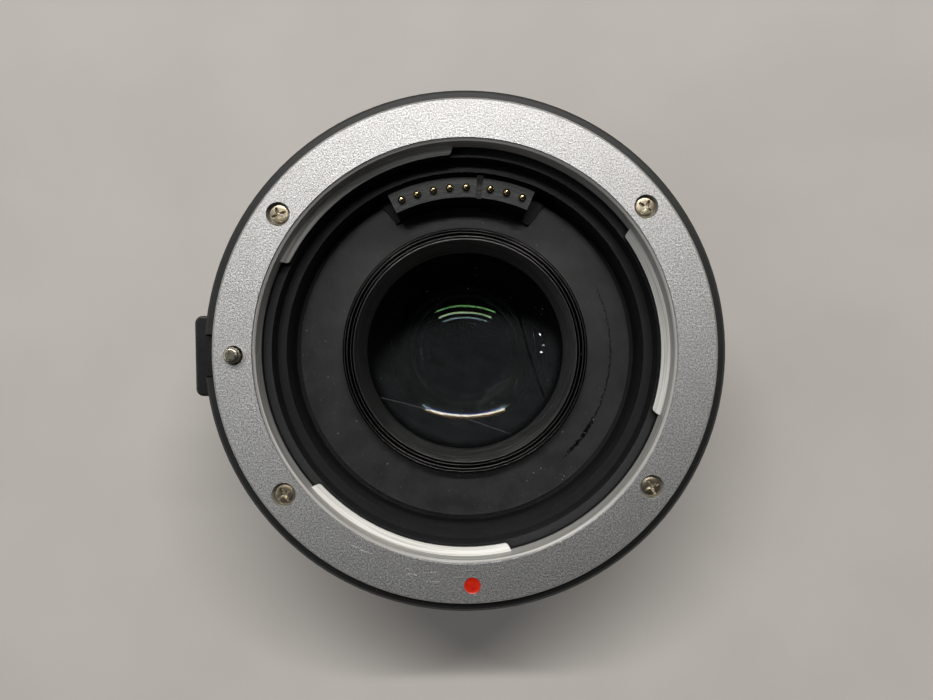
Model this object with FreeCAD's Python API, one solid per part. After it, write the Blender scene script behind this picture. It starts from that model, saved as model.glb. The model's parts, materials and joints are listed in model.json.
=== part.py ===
import FreeCAD, Part
import math
import os

# Focal reducer adapter for interchangeable camera lenses.
# A silver bayonet ring takes the lens, a black body carries the glass and the electronics,
# and a second bayonet ring at the back goes into the camera.
# Millimetres. The origin is on the optical axis in the plane of the lens flange,
# +Z points out of the front towards the lens, and depths count down from the flange.
# Angles are counter-clockwise seen from the front, from +X.
# Radii step outwards and inwards from the lens throat, and heights step up from the camera flange.

# Clearances
seat_gap = 0.03
slide_gap = 0.15
stop_gap = 0.05
thread_gap = 0.02
screw_hole_gap = 0.1

# Lens flange ring
throat_r = 27.0
flange_width = 5.5
flange_thickness = 2.3
throat_chamfer = 0.4
flange_edge_chamfer = 0.25
skirt_wall = 1.0

# Bayonet tabs of the lens ring
tab_reach = 1.0
tab_slope_drop = 0.6
tab_thickness = 1.3
tab_spans = ((91.9, 153.6), (-20.0, 35.6), (220.05, 282.25))
tab_end_slant = 1.2
tab_corner_r = 0.5

# Leaf springs under the tabs
leaf_room = 0.57
leaf_plate_thickness = 0.3
leaf_lead = 24.0
leaf_half_length = 6.4
leaf_flat_half_length = 2.6
leaf_lift = 0.45
leaf_width = 0.85

# Lens mount screws and index dot, each set back from the throat
mount_screw_angle = 37.3
mount_screw_setback = 2.7
screw_head_r = 1.32
screw_head_clearance = 0.23
screw_head_height = 0.85
screw_head_sink = 0.4
screw_shank_r = 0.8
mount_screw_length = 6.0
screw_recess_length = 1.7
screw_recess_width = 0.42
screw_recess_depth = 0.5
screw_head_round = 0.15
dot_setback = 3.15
dot_angle = 270.6
dot_r = 1.05
dot_thickness = 0.4
dot_sink = 0.12

# Body shell
body_rim_width = 1.4
rim_drop = 1.1
rim_chamfer = 0.4
well_ledge_depth = 7.2
well_ledge_width = 1.25
shoulder_below_pad = 1.65
tail_height = 4.0
tail_wall = 1.0
tail_chamfer = 0.4
shoulder_round = 1.2
flange_distance = 20.0
bay_wall = 1.5
body_floor = 1.0

# Release slider, lock pin and spring
lock_pin_r = 1.02
lock_pin_clearance = 0.23
lock_pin_setback = 2.7
lock_pin_height = 1.2
lock_pin_seat = 3.0
lock_pin_tip_round = 0.35
release_travel = 2.0
slider_block_inner_margin = 1.1
slider_block_outer_margin = 2.1
slider_block_half_width = 3.6
slider_block_height = 4.0
slider_neck_half_width = 2.65
slider_neck_height = 3.5
slider_pad_stand = 1.6
slider_pad_half_width = 5.3
slider_pad_height = 7.8
slider_pad_corner_r = 1.0
slider_pad_edge_r = 0.35
slider_body_gap = 0.2
grip_groove_count = 3
grip_groove_width = 0.7
grip_groove_depth = 0.3
grip_groove_pitch = 1.5
release_spring_r = 1.1
release_spring_wire = 0.3
release_spring_length = 6.0
release_spring_turns = 8

# Baffle plate
plate_thickness = 1.0
plate_rim_gap = 0.8

# Front contact block and its sprung pins
block_face_depth = 5.3
block_well_gap = 0.35
block_inner_margin = 1.33
block_start = 65.05
block_end = 115.3
block_chamfer_width = 0.85
block_chamfer_drop = 1.0
block_groove_start = 82.8
block_groove_end = 84.8
block_groove_depth = 0.6
toe_reach = 0.53
foot_start = 60.3
foot_end = 118.6
foot_end_lean = 1.6
foot_thickness = 0.9
stem_inner_margin = 1.06
stem_outer_margin = 0.94
stem_start = 62.0
stem_end = 117.0
contact_inset = 2.54
contact_step = 5.8
contact_group_starts = (68.3, 88.4)
contact_group_counts = (3, 5)
contact_r = 0.5
contact_proud = 0.7
contact_shank_length = 2.0
contact_collar_step = 0.3
contact_collar_height = 0.4
contact_tail_step = 0.2
contact_tail_length = 1.6
contact_fit = 0.04
contact_spring_wire = 0.18
contact_spring_inset = 0.14
contact_spring_turns = 9

# Circuit board and what is on it
board_edge_gap = 0.1
board_start = -25.0
board_end = 205.0
board_thickness = 0.8
board_headroom = 1.3
board_post_height = 1.6
board_post_angles = (-12.0, 38.0, 142.0, 192.0)
board_post_inset = 1.3
board_post_r = 1.25
small_head_r = 0.95
small_head_height = 0.45
small_shank_r = 0.5
small_recess_length = 1.2
small_recess_width = 0.3
small_recess_depth = 0.3
small_head_round = 0.1
board_screw_length = 2.0
block_screw_angles = (63.9, 115.1)
block_screw_length = 3.3
chip_inset = 2.9
controller_size = 4.2
controller_height = 0.9
controller_angle = 12.0
power_chip_size = 3.0
power_chip_height = 0.8
power_chip_angle = 168.0
capacitor_length = 1.0
capacitor_width = 0.5
capacitor_height = 0.55
capacitor_count = 6
capacitor_start = 118.0
capacitor_step = 7.0
capacitor_inset = 1.65

# Lens barrel and its retainers
collar_step = 0.6
collar_proud = 1.5
collar_face_width = 1.6
collar_well_width = 1.6
opening_land = 0.2
collar_skirt_margin = 0.1
collar_skirt_wall = 0.6
collar_skirt_length = 2.4
ridge_count = 5
ridge_pitch = 0.24
ridge_width = 0.11
ridge_depth = 0.14
glass_rim_drop = 1.2
barrel_flange_width = 3.3
barrel_flange_thickness = 0.8
barrel_waist_gap = 0.1
barrel_tail_gap = 0.25
front_seat_wall = 0.75
barrel_screw_angles = (30.0, 150.0, 270.0)
barrel_screw_inset = 1.0
barrel_screw_length = 1.7
retainer_reach = 0.8
rear_retainer_height = 0.48

# Glass, from the front to the back
# A radius is positive where the face's centre of curvature lies towards the lens.
front_lens_land = 0.9
front_lens_thickness = 1.3
front_lens_front_radius = 31.4
front_lens_back_radius = -188.0
rear_group_wall = 1.6
rear_group_land = 0.6
glass_air_gap = 0.3
second_lens_thickness = 3.4
second_lens_front_radius = -110.0
second_lens_back_radius = 36.0
doublet_front_thickness = 2.4
doublet_front_radius = -80.0
doublet_cement_radius = 90.0
doublet_rear_thickness = 0.9
doublet_back_radius = -200.0

# Camera-side bayonet
camera_flange_margin = 5.4
camera_flange_thickness = 2.0
camera_rim_drop = 1.4
camera_register_inset = 4.2
camera_register_wall = 1.5
camera_register_length = 4.8
lug_reach = 1.8
lug_top = 2.9
lug_thickness = 1.4
lug_spans = ((20.0, 62.0), (140.0, 182.0), (262.0, 304.0))
lug_end_slant = 3.0
lug_corner_r = 0.5
camera_screw_angles = (45.0, 135.0, 225.0, 315.0)
camera_screw_inset = 2.4
camera_screw_head_sink = 0.3
camera_screw_length = 4.0
camera_lock_slot_angle = 200.0
camera_lock_slot_inset = 4.2
camera_lock_slot_r = 1.2

# Rear shroud, rear contacts and the flexible cable to them
shroud_flange_inset = 0.4
shroud_flange_thickness = 0.76
shroud_wall = 0.45
shroud_length = 5.0
shroud_floor = 0.8
rear_block_start = 53.5
rear_block_end = 126.5
rear_block_gap = 0.2
rear_block_width = 2.15
rear_block_ear = 4.0
rear_block_ear_height = 0.8
rear_block_proud = 0.3
pad_count = 11
pad_step = 6.3
pad_width = 1.0
pad_length = 1.5
pad_thickness = 0.3
pad_proud = 0.1
flex_half_width = 2.0
flex_thickness = 0.15
flex_wall_gap = 0.2
flex_tongue_length = 1.8
flex_notch_gap = 0.2
flex_notch_depth = 0.5

# Camera index dot
camera_dot_height = 2.8
camera_dot_r = 0.9
camera_dot_angle = 90.0

# Turns
full_angle = 360.0
straight_angle = 180.0
right_angle = 90.0
overshoot = 1.0
wedge_reach = 3
length_tolerance = 1e-3

# Radii of the lens side, which step out and in from the throat
flange_r = throat_r + flange_width
skirt_r = throat_r + skirt_wall
tab_inner_r = throat_r - tab_reach
mount_screw_circle_r = throat_r + mount_screw_setback
counterbore_r = screw_head_r + screw_head_clearance
dot_circle_r = throat_r + dot_setback
lock_pin_circle_r = throat_r + lock_pin_setback
lock_pin_hole_r = lock_pin_r + lock_pin_clearance
slider_block_inner_r = lock_pin_circle_r - slider_block_inner_margin
slider_block_outer_r = lock_pin_circle_r + slider_block_outer_margin
body_r = flange_r + body_rim_width
slider_pad_outer_r = body_r + slider_pad_stand
bore_r = tab_inner_r - stop_gap
well_r = bore_r - well_ledge_width
plate_r = well_r - plate_rim_gap
bay_r = well_r - bay_wall
contact_circle_r = well_r - contact_inset
block_outer_r = well_r - block_well_gap
block_inner_r = contact_circle_r - block_inner_margin
foot_inner_r = block_inner_r - toe_reach
stem_inner_r = contact_circle_r - stem_inner_margin
stem_outer_r = contact_circle_r + stem_outer_margin
contact_collar_r = contact_r + contact_collar_step
contact_tail_r = contact_r - contact_tail_step
contact_spring_r = contact_collar_r - contact_spring_inset
contact_bore_r = contact_collar_r + stop_gap

# Radii of the camera side, which step out and in from the bay that holds the board
camera_flange_r = bay_r + camera_flange_margin
tail_r = camera_flange_r + tail_wall
camera_screw_circle_r = camera_flange_r - camera_screw_inset
camera_lock_slot_circle_r = camera_flange_r - camera_lock_slot_inset
camera_register_r = bay_r - camera_register_inset
lug_r = camera_register_r + lug_reach
shroud_flange_r = camera_register_r - shroud_flange_inset
shroud_r = camera_register_r - camera_register_wall - stop_gap
shroud_inner_r = shroud_r - shroud_wall
rear_block_outer_r = shroud_inner_r - rear_block_gap
rear_block_inner_r = rear_block_outer_r - rear_block_width
pad_circle_r = (rear_block_inner_r + rear_block_outer_r) / 2
flex_y = shroud_inner_r + flex_wall_gap
flex_tongue_y = flex_y - flex_tongue_length

# Radii of the barrel and the glass, which step in from the shroud
barrel_waist_r = shroud_inner_r - barrel_waist_gap
barrel_tail_r = rear_block_inner_r - barrel_tail_gap
barrel_flange_r = barrel_waist_r + barrel_flange_width
barrel_screw_circle_r = barrel_flange_r - barrel_screw_inset
collar_skirt_r = barrel_waist_r + collar_skirt_margin
collar_r = collar_skirt_r + collar_step
collar_lip_r = collar_r - collar_face_width
glass_opening_r = collar_lip_r - collar_well_width
front_lens_r = glass_opening_r + front_lens_land
rear_group_r = barrel_tail_r - rear_group_wall
rear_group_clear_r = rear_group_r - rear_group_land
retainer_inner_r = rear_group_clear_r - retainer_reach

# Radii of the board, between the collar and the bay
board_inner_r = collar_skirt_r + slide_gap
board_outer_r = bay_r - board_edge_gap
board_post_circle_r = bay_r - board_post_inset
chip_circle_r = board_outer_r - chip_inset
capacitor_circle_r = board_inner_r + capacitor_inset

# Heights of the lens side, down from the flange
seat_z = -flange_thickness
rim_z = -rim_drop
tab_low_z = seat_z - tab_thickness
skirt_bottom_z = tab_low_z - leaf_room
leaf_z = skirt_bottom_z - stop_gap
bore_ledge_z = leaf_z - leaf_plate_thickness
well_ledge_z = -well_ledge_depth
slider_top_z = seat_z - stop_gap
slider_bottom_z = slider_top_z - slider_block_height
slider_pad_low_z = slider_top_z - slider_pad_height
slider_pocket_z = slider_bottom_z - release_travel - slide_gap
release_spring_z = slider_bottom_z - release_spring_length
shoulder_z = slider_pad_low_z - shoulder_below_pad
block_face_z = -block_face_depth
contact_stop_z = block_face_z - contact_shank_length
pin_collar_z = contact_stop_z - stop_gap
pin_seat_z = pin_collar_z - contact_collar_height

# Heights of the camera side, up from the camera flange
camera_z = -flange_distance
body_bottom_z = camera_z + camera_flange_thickness
body_floor_z = body_bottom_z + body_floor
board_bottom_z = body_floor_z + board_post_height
board_z = board_bottom_z + board_thickness
plate_seat_z = board_z + board_headroom
plate_z = plate_seat_z + plate_thickness
glass_rim_z = plate_z - glass_rim_drop
tail_z = camera_z + camera_rim_drop
tail_top_z = camera_z + tail_height
camera_dot_z = camera_z + camera_dot_height
shroud_end_z = camera_z - shroud_length
shroud_floor_z = shroud_end_z + shroud_floor
rear_face_z = shroud_end_z - rear_block_proud

def point(x, y, z):
    return FreeCAD.Vector(x, y, z)


AXIS = point(0, 0, 1)


def turned(shape, angle):
    """A copy turned about the optical axis."""
    copy = shape.copy()
    copy.rotate(point(0, 0, 0), AXIS, angle)
    return copy


def polygon_face(points):
    """A flat face whose outline joins these points and closes."""
    return Part.Face(Part.makePolygon(points + [points[0]]))


def turned_solid(outline, start=0.0, end=full_angle):
    """The (radius, z) outline swept about the optical axis from one angle to another."""
    face = polygon_face([point(r, 0, z) for r, z in outline])
    return turned(face.revolve(point(0, 0, 0), AXIS, end - start), start)


def sector(inner_r, outer_r, low_z, high_z, start=0.0, end=full_angle):
    """A ring or part of one."""
    outline = [(inner_r, low_z), (outer_r, low_z), (outer_r, high_z), (inner_r, high_z)]
    return turned_solid(outline, start, end)


def cylinder(r, low_z, high_z, circle_r=0.0, angle=0.0):
    """An upright cylinder that stands on a circle about the axis."""
    return turned(Part.makeCylinder(r, high_z - low_z, point(circle_r, 0, low_z)), angle)


def block(x_range, y_range, z_range):
    """A box given by its two ends on each axis."""
    sides = [high - low for low, high in (x_range, y_range, z_range)]
    return Part.makeBox(*sides, point(x_range[0], y_range[0], z_range[0]))


def joined(shapes):
    """One solid from overlapping or touching ones."""
    first, rest = shapes[0], shapes[1:]
    return first.fuse(rest).removeSplitter() if rest else first


def sag(radius, r):
    """How far a spherical face of this signed radius rises above its vertex at distance r."""
    depth = abs(radius) - math.sqrt(radius * radius - r * r)
    return math.copysign(depth, radius)


def rounded_edges(shape, size, wanted):
    """The shape with a round on each edge that the test picks."""
    return shape.makeFillet(size, [edge for edge in shape.Edges if wanted(edge)])


def is_upright(edge):
    box = edge.BoundBox
    return max(box.XLength, box.YLength) < length_tolerance < box.ZLength


def reach(edge):
    """The distance of an upright edge from the optical axis."""
    return math.hypot(edge.Vertexes[0].X, edge.Vertexes[0].Y)


# Screws and springs

def screw(head_r, head_height, head_round, shank_r, length, recess):
    """A cross-head screw that hangs from the plane of its head's top."""
    recess_length, recess_width, recess_depth = recess
    head = Part.makeCylinder(head_r, head_height, point(0, 0, -head_height))
    head = rounded_edges(head, head_round, lambda edge: edge.BoundBox.ZMin > -head_round)
    shank = Part.makeCylinder(shank_r, length, point(0, 0, -head_height - length))
    arm = recess_length / 2
    half = recess_width / 2
    slot = block((-arm, arm), (-half, half), (-recess_depth, overshoot))
    return joined([head, shank]).cut([slot, turned(slot, right_angle)])


def mount_screw(length):
    """The larger of the two screw sizes, which holds the bayonet rings."""
    recess = (screw_recess_length, screw_recess_width, screw_recess_depth)
    return screw(screw_head_r, screw_head_height, screw_head_round, screw_shank_r, length, recess)


def small_screw(length):
    """The smaller size, which holds the board, the contact block and the lens barrel."""
    recess = (small_recess_length, small_recess_width, small_recess_depth)
    return screw(small_head_r, small_head_height, small_head_round, small_shank_r, length, recess)


def placed(shape, circle_r, angle, z):
    """A copy set on a circle about the axis, with its own origin at height z."""
    copy = shape.copy()
    copy.translate(point(circle_r, 0, z))
    return turned(copy, angle)


def upside_down(shape):
    copy = shape.copy()
    copy.rotate(point(0, 0, 0), point(1, 0, 0), straight_angle)
    return copy


def coil(outer_r, wire, low_z, high_z, turns):
    """A compression spring that stands on low_z and ends just under high_z, on the optical axis."""
    mean_r = outer_r - wire / 2
    height = high_z - low_z - wire - 2 * stop_gap
    path = Part.makeHelix(height / turns, height, mean_r)
    section = Part.Wire(Part.makeCircle(wire / 2, point(mean_r, 0, 0), point(0, 1, 0)))
    spring = Part.Wire(path.Edges).makePipeShell([section], True, True)
    spring.translate(point(0, 0, low_z + stop_gap + wire / 2))
    return spring


# Lens side

def bayonet_tab(inner_r, outer_r, low_z, high_z, span, slant, corner_r, grows_inward):
    """A bayonet tab's plan, extruded, with slanted ends and rounded free corners."""
    start, end = span
    free_r, root_r = (inner_r, outer_r) if grows_inward else (outer_r, inner_r)

    def on_circle(r, angle):
        turn = math.radians(angle)
        return point(r * math.cos(turn), r * math.sin(turn), low_z)

    middle = (start + end) / 2
    outline = [
        Part.Arc(on_circle(root_r, start), on_circle(root_r, middle), on_circle(root_r, end)).toShape(),
        Part.makeLine(on_circle(root_r, end), on_circle(free_r, end - slant)),
        Part.Arc(
            on_circle(free_r, end - slant), on_circle(free_r, middle), on_circle(free_r, start + slant)
        ).toShape(),
        Part.makeLine(on_circle(free_r, start + slant), on_circle(root_r, start)),
    ]
    tab = Part.Face(Part.Wire(outline)).extrude(point(0, 0, high_z - low_z))
    return rounded_edges(tab, corner_r, lambda e: is_upright(e) and abs(reach(e) - free_r) < length_tolerance)


def mount_screw_places():
    a = mount_screw_angle
    return (a, straight_angle - a, straight_angle + a, full_angle - a)


def lens_mount_ring():
    disc = turned_solid([
        (throat_r, seat_z),
        (flange_r, seat_z),
        (flange_r, -flange_edge_chamfer),
        (flange_r - flange_edge_chamfer, 0),
        (throat_r + throat_chamfer, 0),
        (throat_r, -throat_chamfer),
    ])
    skirt = sector(throat_r, skirt_r, skirt_bottom_z, seat_z)
    tab_section = turned_solid([
        (tab_inner_r - overshoot, tab_low_z),
        (skirt_r, tab_low_z),
        (skirt_r, seat_z),
        (throat_r, seat_z),
        (tab_inner_r, seat_z - tab_slope_drop),
        (tab_inner_r - overshoot, seat_z - tab_slope_drop),
    ])
    root_r = throat_r + skirt_wall / 2
    tabs = [
        bayonet_tab(tab_inner_r, root_r, tab_low_z, seat_z, span, tab_end_slant, tab_corner_r, True)
        .common(tab_section)
        for span in tab_spans
    ]
    ring = joined([disc, skirt] + tabs)
    cuts = [
        cylinder(lock_pin_hole_r, seat_z - overshoot, overshoot, lock_pin_circle_r, straight_angle),
        cylinder(dot_r + seat_gap, -dot_sink - dot_thickness, overshoot, dot_circle_r, dot_angle),
    ]
    floor_z = -screw_head_sink - screw_head_height
    for angle in mount_screw_places():
        place = (mount_screw_circle_r, angle)
        cuts.append(cylinder(screw_shank_r + screw_hole_gap, seat_z - overshoot, overshoot, *place))
        cuts.append(cylinder(counterbore_r, floor_z, overshoot, *place))
    return ring.cut(cuts)


def lens_mount_screws():
    one = mount_screw(mount_screw_length)
    places = mount_screw_places()
    return [placed(one, mount_screw_circle_r, angle, -screw_head_sink) for angle in places]


def index_dot():
    return cylinder(dot_r, -dot_sink - dot_thickness, -dot_sink, dot_circle_r, dot_angle)


def leaf(centre):
    """A strip that rises from the plate to a flat crown and falls back, following the bore."""
    low_z = leaf_z - leaf_plate_thickness
    crown_z = leaf_z + leaf_lift
    outline = [
        (-leaf_half_length, low_z),
        (-leaf_half_length, leaf_z),
        (-leaf_flat_half_length, crown_z),
        (leaf_flat_half_length, crown_z),
        (leaf_half_length, leaf_z),
        (leaf_half_length, low_z),
        (leaf_flat_half_length, crown_z - leaf_plate_thickness),
        (-leaf_flat_half_length, crown_z - leaf_plate_thickness),
    ]
    face = polygon_face([point(0, y, z) for y, z in outline])
    bridge = face.extrude(point(throat_r + overshoot, 0, 0))
    strip = bridge.common(sector(bore_r, bore_r + leaf_width, low_z - overshoot, crown_z + overshoot))
    return turned(strip, centre)


def tab_spring_plate():
    plate = sector(bore_r, skirt_r, leaf_z - leaf_plate_thickness, leaf_z)
    leaves = [leaf(start + leaf_lead) for start, end in tab_spans]
    return joined([plate] + leaves)


# Body

def slider_pocket():
    """The space in which the slider's block and neck travel, open to the front and the side."""
    top_z = overshoot
    wide = block(
        (-slider_block_outer_r - slide_gap, -slider_block_inner_r + slide_gap),
        (-slider_block_half_width - slide_gap, slider_block_half_width + slide_gap),
        (slider_pocket_z, top_z),
    )
    narrow = block(
        (-body_r - overshoot, -slider_block_outer_r),
        (-slider_neck_half_width - slide_gap, slider_neck_half_width + slide_gap),
        (slider_pocket_z, top_z),
    )
    well = cylinder(
        release_spring_r + slide_gap, release_spring_z, slider_pocket_z, lock_pin_circle_r, straight_angle
    )
    return [wide, narrow, well]


def flex_notch(low_z, high_z):
    """The gap through which the flexible cable passes, cut alike in each piece on its way."""
    half = flex_half_width + flex_notch_gap
    y_range = (flex_y - flex_notch_depth, flex_y + flex_thickness + flex_notch_gap)
    return block((-half, half), y_range, (low_z, high_z))


def main_body():
    pocket_r = flange_r + seat_gap
    camera_pocket_r = camera_flange_r + seat_gap
    shell = turned_solid([
        (pocket_r, rim_z),
        (body_r - rim_chamfer, rim_z),
        (body_r, rim_z - rim_chamfer),
        (body_r, shoulder_z),
        (tail_r, tail_top_z),
        (tail_r, tail_z + tail_chamfer),
        (tail_r - tail_chamfer, tail_z),
        (camera_pocket_r, tail_z),
        (camera_pocket_r, body_bottom_z),
        (barrel_waist_r + seat_gap, body_bottom_z),
        (barrel_waist_r + seat_gap, body_floor_z),
        (bay_r, body_floor_z),
        (bay_r, plate_seat_z),
        (well_r, plate_seat_z),
        (well_r, well_ledge_z),
        (bore_r, well_ledge_z),
        (bore_r, bore_ledge_z),
        (skirt_r + seat_gap, bore_ledge_z),
        (skirt_r + seat_gap, seat_z),
        (pocket_r, seat_z),
    ])
    shoulders = (shoulder_z, tail_top_z)
    shell = rounded_edges(
        shell, shoulder_round, lambda e: len(e.Vertexes) == 1 and e.Vertexes[0].Z in shoulders
    )
    posts = [
        cylinder(board_post_r, body_floor_z, board_bottom_z, board_post_circle_r, angle)
        for angle in board_post_angles
    ]
    return joined([shell] + posts).cut(slider_pocket() + body_holes())


def body_holes():
    """The tapped holes, the camera dot's recess and the notch for the flexible cable."""
    holes = [flex_notch(body_bottom_z - overshoot, body_floor_z + overshoot)]
    tap_r = screw_shank_r + thread_gap
    small_tap_r = small_shank_r + thread_gap
    mount_tip_z = -screw_head_sink - screw_head_height - mount_screw_length - stop_gap
    for angle in mount_screw_places():
        holes.append(cylinder(tap_r, mount_tip_z, 0, mount_screw_circle_r, angle))
    camera_tip_z = camera_screw_seat_z() + camera_screw_length + stop_gap
    for angle in camera_screw_angles:
        holes.append(cylinder(tap_r, camera_z, camera_tip_z, camera_screw_circle_r, angle))
    post_tip_z = board_z - board_screw_length - stop_gap
    for angle in board_post_angles:
        holes.append(cylinder(small_tap_r, post_tip_z, board_z, board_post_circle_r, angle))
    for angle in barrel_screw_angles:
        holes.append(cylinder(small_tap_r, camera_z, board_z, barrel_screw_circle_r, angle))
    holes.append(camera_dot_disc(camera_dot_r + seat_gap))
    return holes


# Release

def release_slider():
    top_z = slider_top_z
    bottom_z = slider_bottom_z
    shank = block(
        (-slider_block_outer_r, -slider_block_inner_r),
        (-slider_block_half_width, slider_block_half_width),
        (bottom_z, top_z),
    )
    pad_inner_r = body_r + slider_body_gap
    neck_low_z = top_z - slider_neck_height
    neck = block(
        (-pad_inner_r - slider_body_gap, -slider_block_outer_r),
        (-slider_neck_half_width, slider_neck_half_width),
        (neck_low_z, top_z),
    )
    slider = joined([shank, neck, slider_pad(pad_inner_r, top_z)])
    hole = cylinder(lock_pin_r + thread_gap, top_z - lock_pin_seat, 0, lock_pin_circle_r, straight_angle)
    return slider.cut(hole)


def slider_pad(inner_r, top_z):
    """The thumb pad that lies along the body, with rounded corners and grooves across its face."""
    low_z = slider_pad_low_z
    slab = block(
        (-slider_pad_outer_r, -inner_r + slider_pad_half_width / 2),
        (-slider_pad_half_width, slider_pad_half_width),
        (low_z, top_z),
    )
    slab = rounded_edges(slab, slider_pad_corner_r, lambda e: is_upright(e) and e.Vertexes[0].X < -inner_r)
    slab = rounded_edges(
        slab, slider_pad_edge_r, lambda e: not is_upright(e) and e.BoundBox.XMin < -inner_r
        and e.BoundBox.XMax < -inner_r
    )
    pad = slab.cut(cylinder(inner_r, low_z - overshoot, top_z + overshoot))
    middle_z = (low_z + top_z) / 2
    first_z = middle_z - grip_groove_pitch * (grip_groove_count - 1) / 2
    face_x = -slider_pad_outer_r
    for index in range(grip_groove_count):
        centre_z = first_z + index * grip_groove_pitch
        groove = block(
            (face_x - overshoot, face_x + grip_groove_depth),
            (-slider_pad_half_width, slider_pad_half_width),
            (centre_z - grip_groove_width / 2, centre_z + grip_groove_width / 2),
        )
        pad = pad.cut(groove)
    return pad


def lens_lock_pin():
    low_z = slider_top_z - lock_pin_seat
    pin = Part.makeCylinder(lock_pin_r, lock_pin_height - low_z, point(-lock_pin_circle_r, 0, low_z))
    return rounded_edges(pin, lock_pin_tip_round, lambda e: e.Vertexes[0].Z > 0 and len(e.Vertexes) == 1)


def release_spring():
    spring = coil(
        release_spring_r, release_spring_wire, release_spring_z, slider_bottom_z, release_spring_turns
    )
    return placed(spring, lock_pin_circle_r, straight_angle, 0)


# Contacts

def contact_angles():
    angles = []
    for start, size in zip(contact_group_starts, contact_group_counts):
        angles += [start + index * contact_step for index in range(size)]
    return angles


def leaning_wedge(inner_r, outer_r, low_z, high_z, start, end, lean):
    """A wedge about the axis whose two sides lean in by an angle at the inner radius."""
    sides = []
    for outer_angle, inner_angle in ((start, start + lean), (end, end - lean)):
        outer = FreeCAD.Rotation(AXIS, outer_angle).multVec(point(outer_r, 0, low_z))
        inner = FreeCAD.Rotation(AXIS, inner_angle).multVec(point(inner_r, 0, low_z))
        width = outer - inner
        sides.append((inner - width, outer + width * wedge_reach))
    (first_inner, first_outer), (last_inner, last_outer) = sides
    face = polygon_face([first_inner, first_outer, last_outer, last_inner])
    return face.extrude(AXIS * (high_z - low_z))


def front_contact_block():
    foot_z = plate_z + foot_thickness
    tower = turned_solid([
        (block_inner_r, plate_z),
        (block_outer_r, plate_z),
        (block_outer_r, block_face_z - block_chamfer_drop),
        (block_outer_r - block_chamfer_width, block_face_z),
        (block_inner_r, block_face_z),
    ], block_start, block_end)
    foot = sector(block_inner_r, plate_r, plate_z, foot_z, foot_start, foot_end)
    toe = sector(foot_inner_r, block_inner_r, plate_z, foot_z, foot_start, block_groove_start)
    foot = joined([foot, toe]).common(
        leaning_wedge(foot_inner_r, plate_r, plate_z, foot_z, foot_start, foot_end, foot_end_lean)
    )
    stem = sector(stem_inner_r, stem_outer_r, board_z, plate_z + foot_thickness / 2, stem_start, stem_end)
    solid = joined([tower, foot, stem])
    groove_z = block_face_z - block_groove_depth
    cuts = [
        sector(foot_inner_r, well_r, groove_z, 0, block_groove_start, block_groove_end)
    ]
    for angle in contact_angles():
        cuts.append(cylinder(contact_r + contact_fit, contact_stop_z, 0, contact_circle_r, angle))
        cuts.append(
            cylinder(contact_bore_r, board_z - overshoot, contact_stop_z, contact_circle_r, angle)
        )
    tip_z = board_bottom_z + block_screw_length + stop_gap
    for angle in block_screw_angles:
        cuts.append(
            cylinder(small_shank_r + thread_gap, board_z - overshoot, tip_z, contact_circle_r, angle)
        )
    return solid.cut(cuts)


def contact_pin(angle):
    """A plunger with a ball tip, a collar that stops it under the block's face, and a tail."""
    ball_z = block_face_z + contact_proud - contact_r
    ball = Part.makeSphere(contact_r, point(0, 0, ball_z))
    shank = Part.makeCylinder(contact_r, ball_z - pin_seat_z, point(0, 0, pin_seat_z))
    collar = Part.makeCylinder(contact_collar_r, contact_collar_height, point(0, 0, pin_seat_z))
    tail_z = pin_seat_z - contact_tail_length
    tail = Part.makeCylinder(contact_tail_r, contact_tail_length, point(0, 0, tail_z))
    return placed(joined([ball, shank, collar, tail]), contact_circle_r, angle, 0)


def contact_spring(angle):
    spring = coil(contact_spring_r, contact_spring_wire, board_z, pin_seat_z, contact_spring_turns)
    return placed(spring, contact_circle_r, angle, 0)


def contact_block_screws():
    one = upside_down(small_screw(block_screw_length))
    low_z = board_bottom_z - small_head_height
    return [placed(one, contact_circle_r, angle, low_z) for angle in block_screw_angles]


# Baffle plate and electronics

def baffle_plate():
    plate = sector(collar_skirt_r + seat_gap, plate_r, plate_seat_z, plate_z)
    turn_gap = math.degrees(slide_gap / stem_outer_r)
    slot = sector(
        stem_inner_r - slide_gap, stem_outer_r + slide_gap / 2, plate_seat_z - overshoot, 0,
        stem_start - turn_gap, stem_end + turn_gap,
    )
    return plate.cut(slot)


def circuit_board():
    board = sector(board_inner_r, board_outer_r, board_bottom_z, board_z, board_start, board_end)
    hole_r = small_shank_r + stop_gap
    places = [(board_post_circle_r, angle) for angle in board_post_angles]
    places += [(contact_circle_r, angle) for angle in block_screw_angles]
    low_z = board_bottom_z - overshoot
    return board.cut([cylinder(hole_r, low_z, board_z + overshoot, r, angle) for r, angle in places])


def board_screws():
    one = small_screw(board_screw_length)
    top_z = board_z + small_head_height
    return [placed(one, board_post_circle_r, angle, top_z) for angle in board_post_angles]


def chip(length, width, height, circle_r, angle):
    """A chip that lies on the board, with its length along the radius."""
    half = length / 2
    body = block((circle_r - half, circle_r + half), (-width / 2, width / 2), (board_z, board_z + height))
    return turned(body, angle)


def controller_chip():
    size = controller_size
    return chip(size, size, controller_height, chip_circle_r, controller_angle)


def power_chip():
    size = power_chip_size
    return chip(size, size, power_chip_height, chip_circle_r, power_chip_angle)


def board_capacitors():
    return [
        chip(capacitor_length, capacitor_width, capacitor_height, capacitor_circle_r,
             capacitor_start + index * capacitor_step)
        for index in range(capacitor_count)
    ]


# Lens barrel

def lens_levels():
    """Vertex heights of the six glass faces, from the front one to the back one."""
    front = glass_rim_z - sag(front_lens_front_radius, glass_opening_r)
    front_back = front - front_lens_thickness
    second = front_back - glass_air_gap
    second_back = second - second_lens_thickness
    doublet = second_back - glass_air_gap
    cement = doublet - doublet_front_thickness
    return front, front_back, second, second_back, doublet, cement, cement - doublet_rear_thickness


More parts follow.
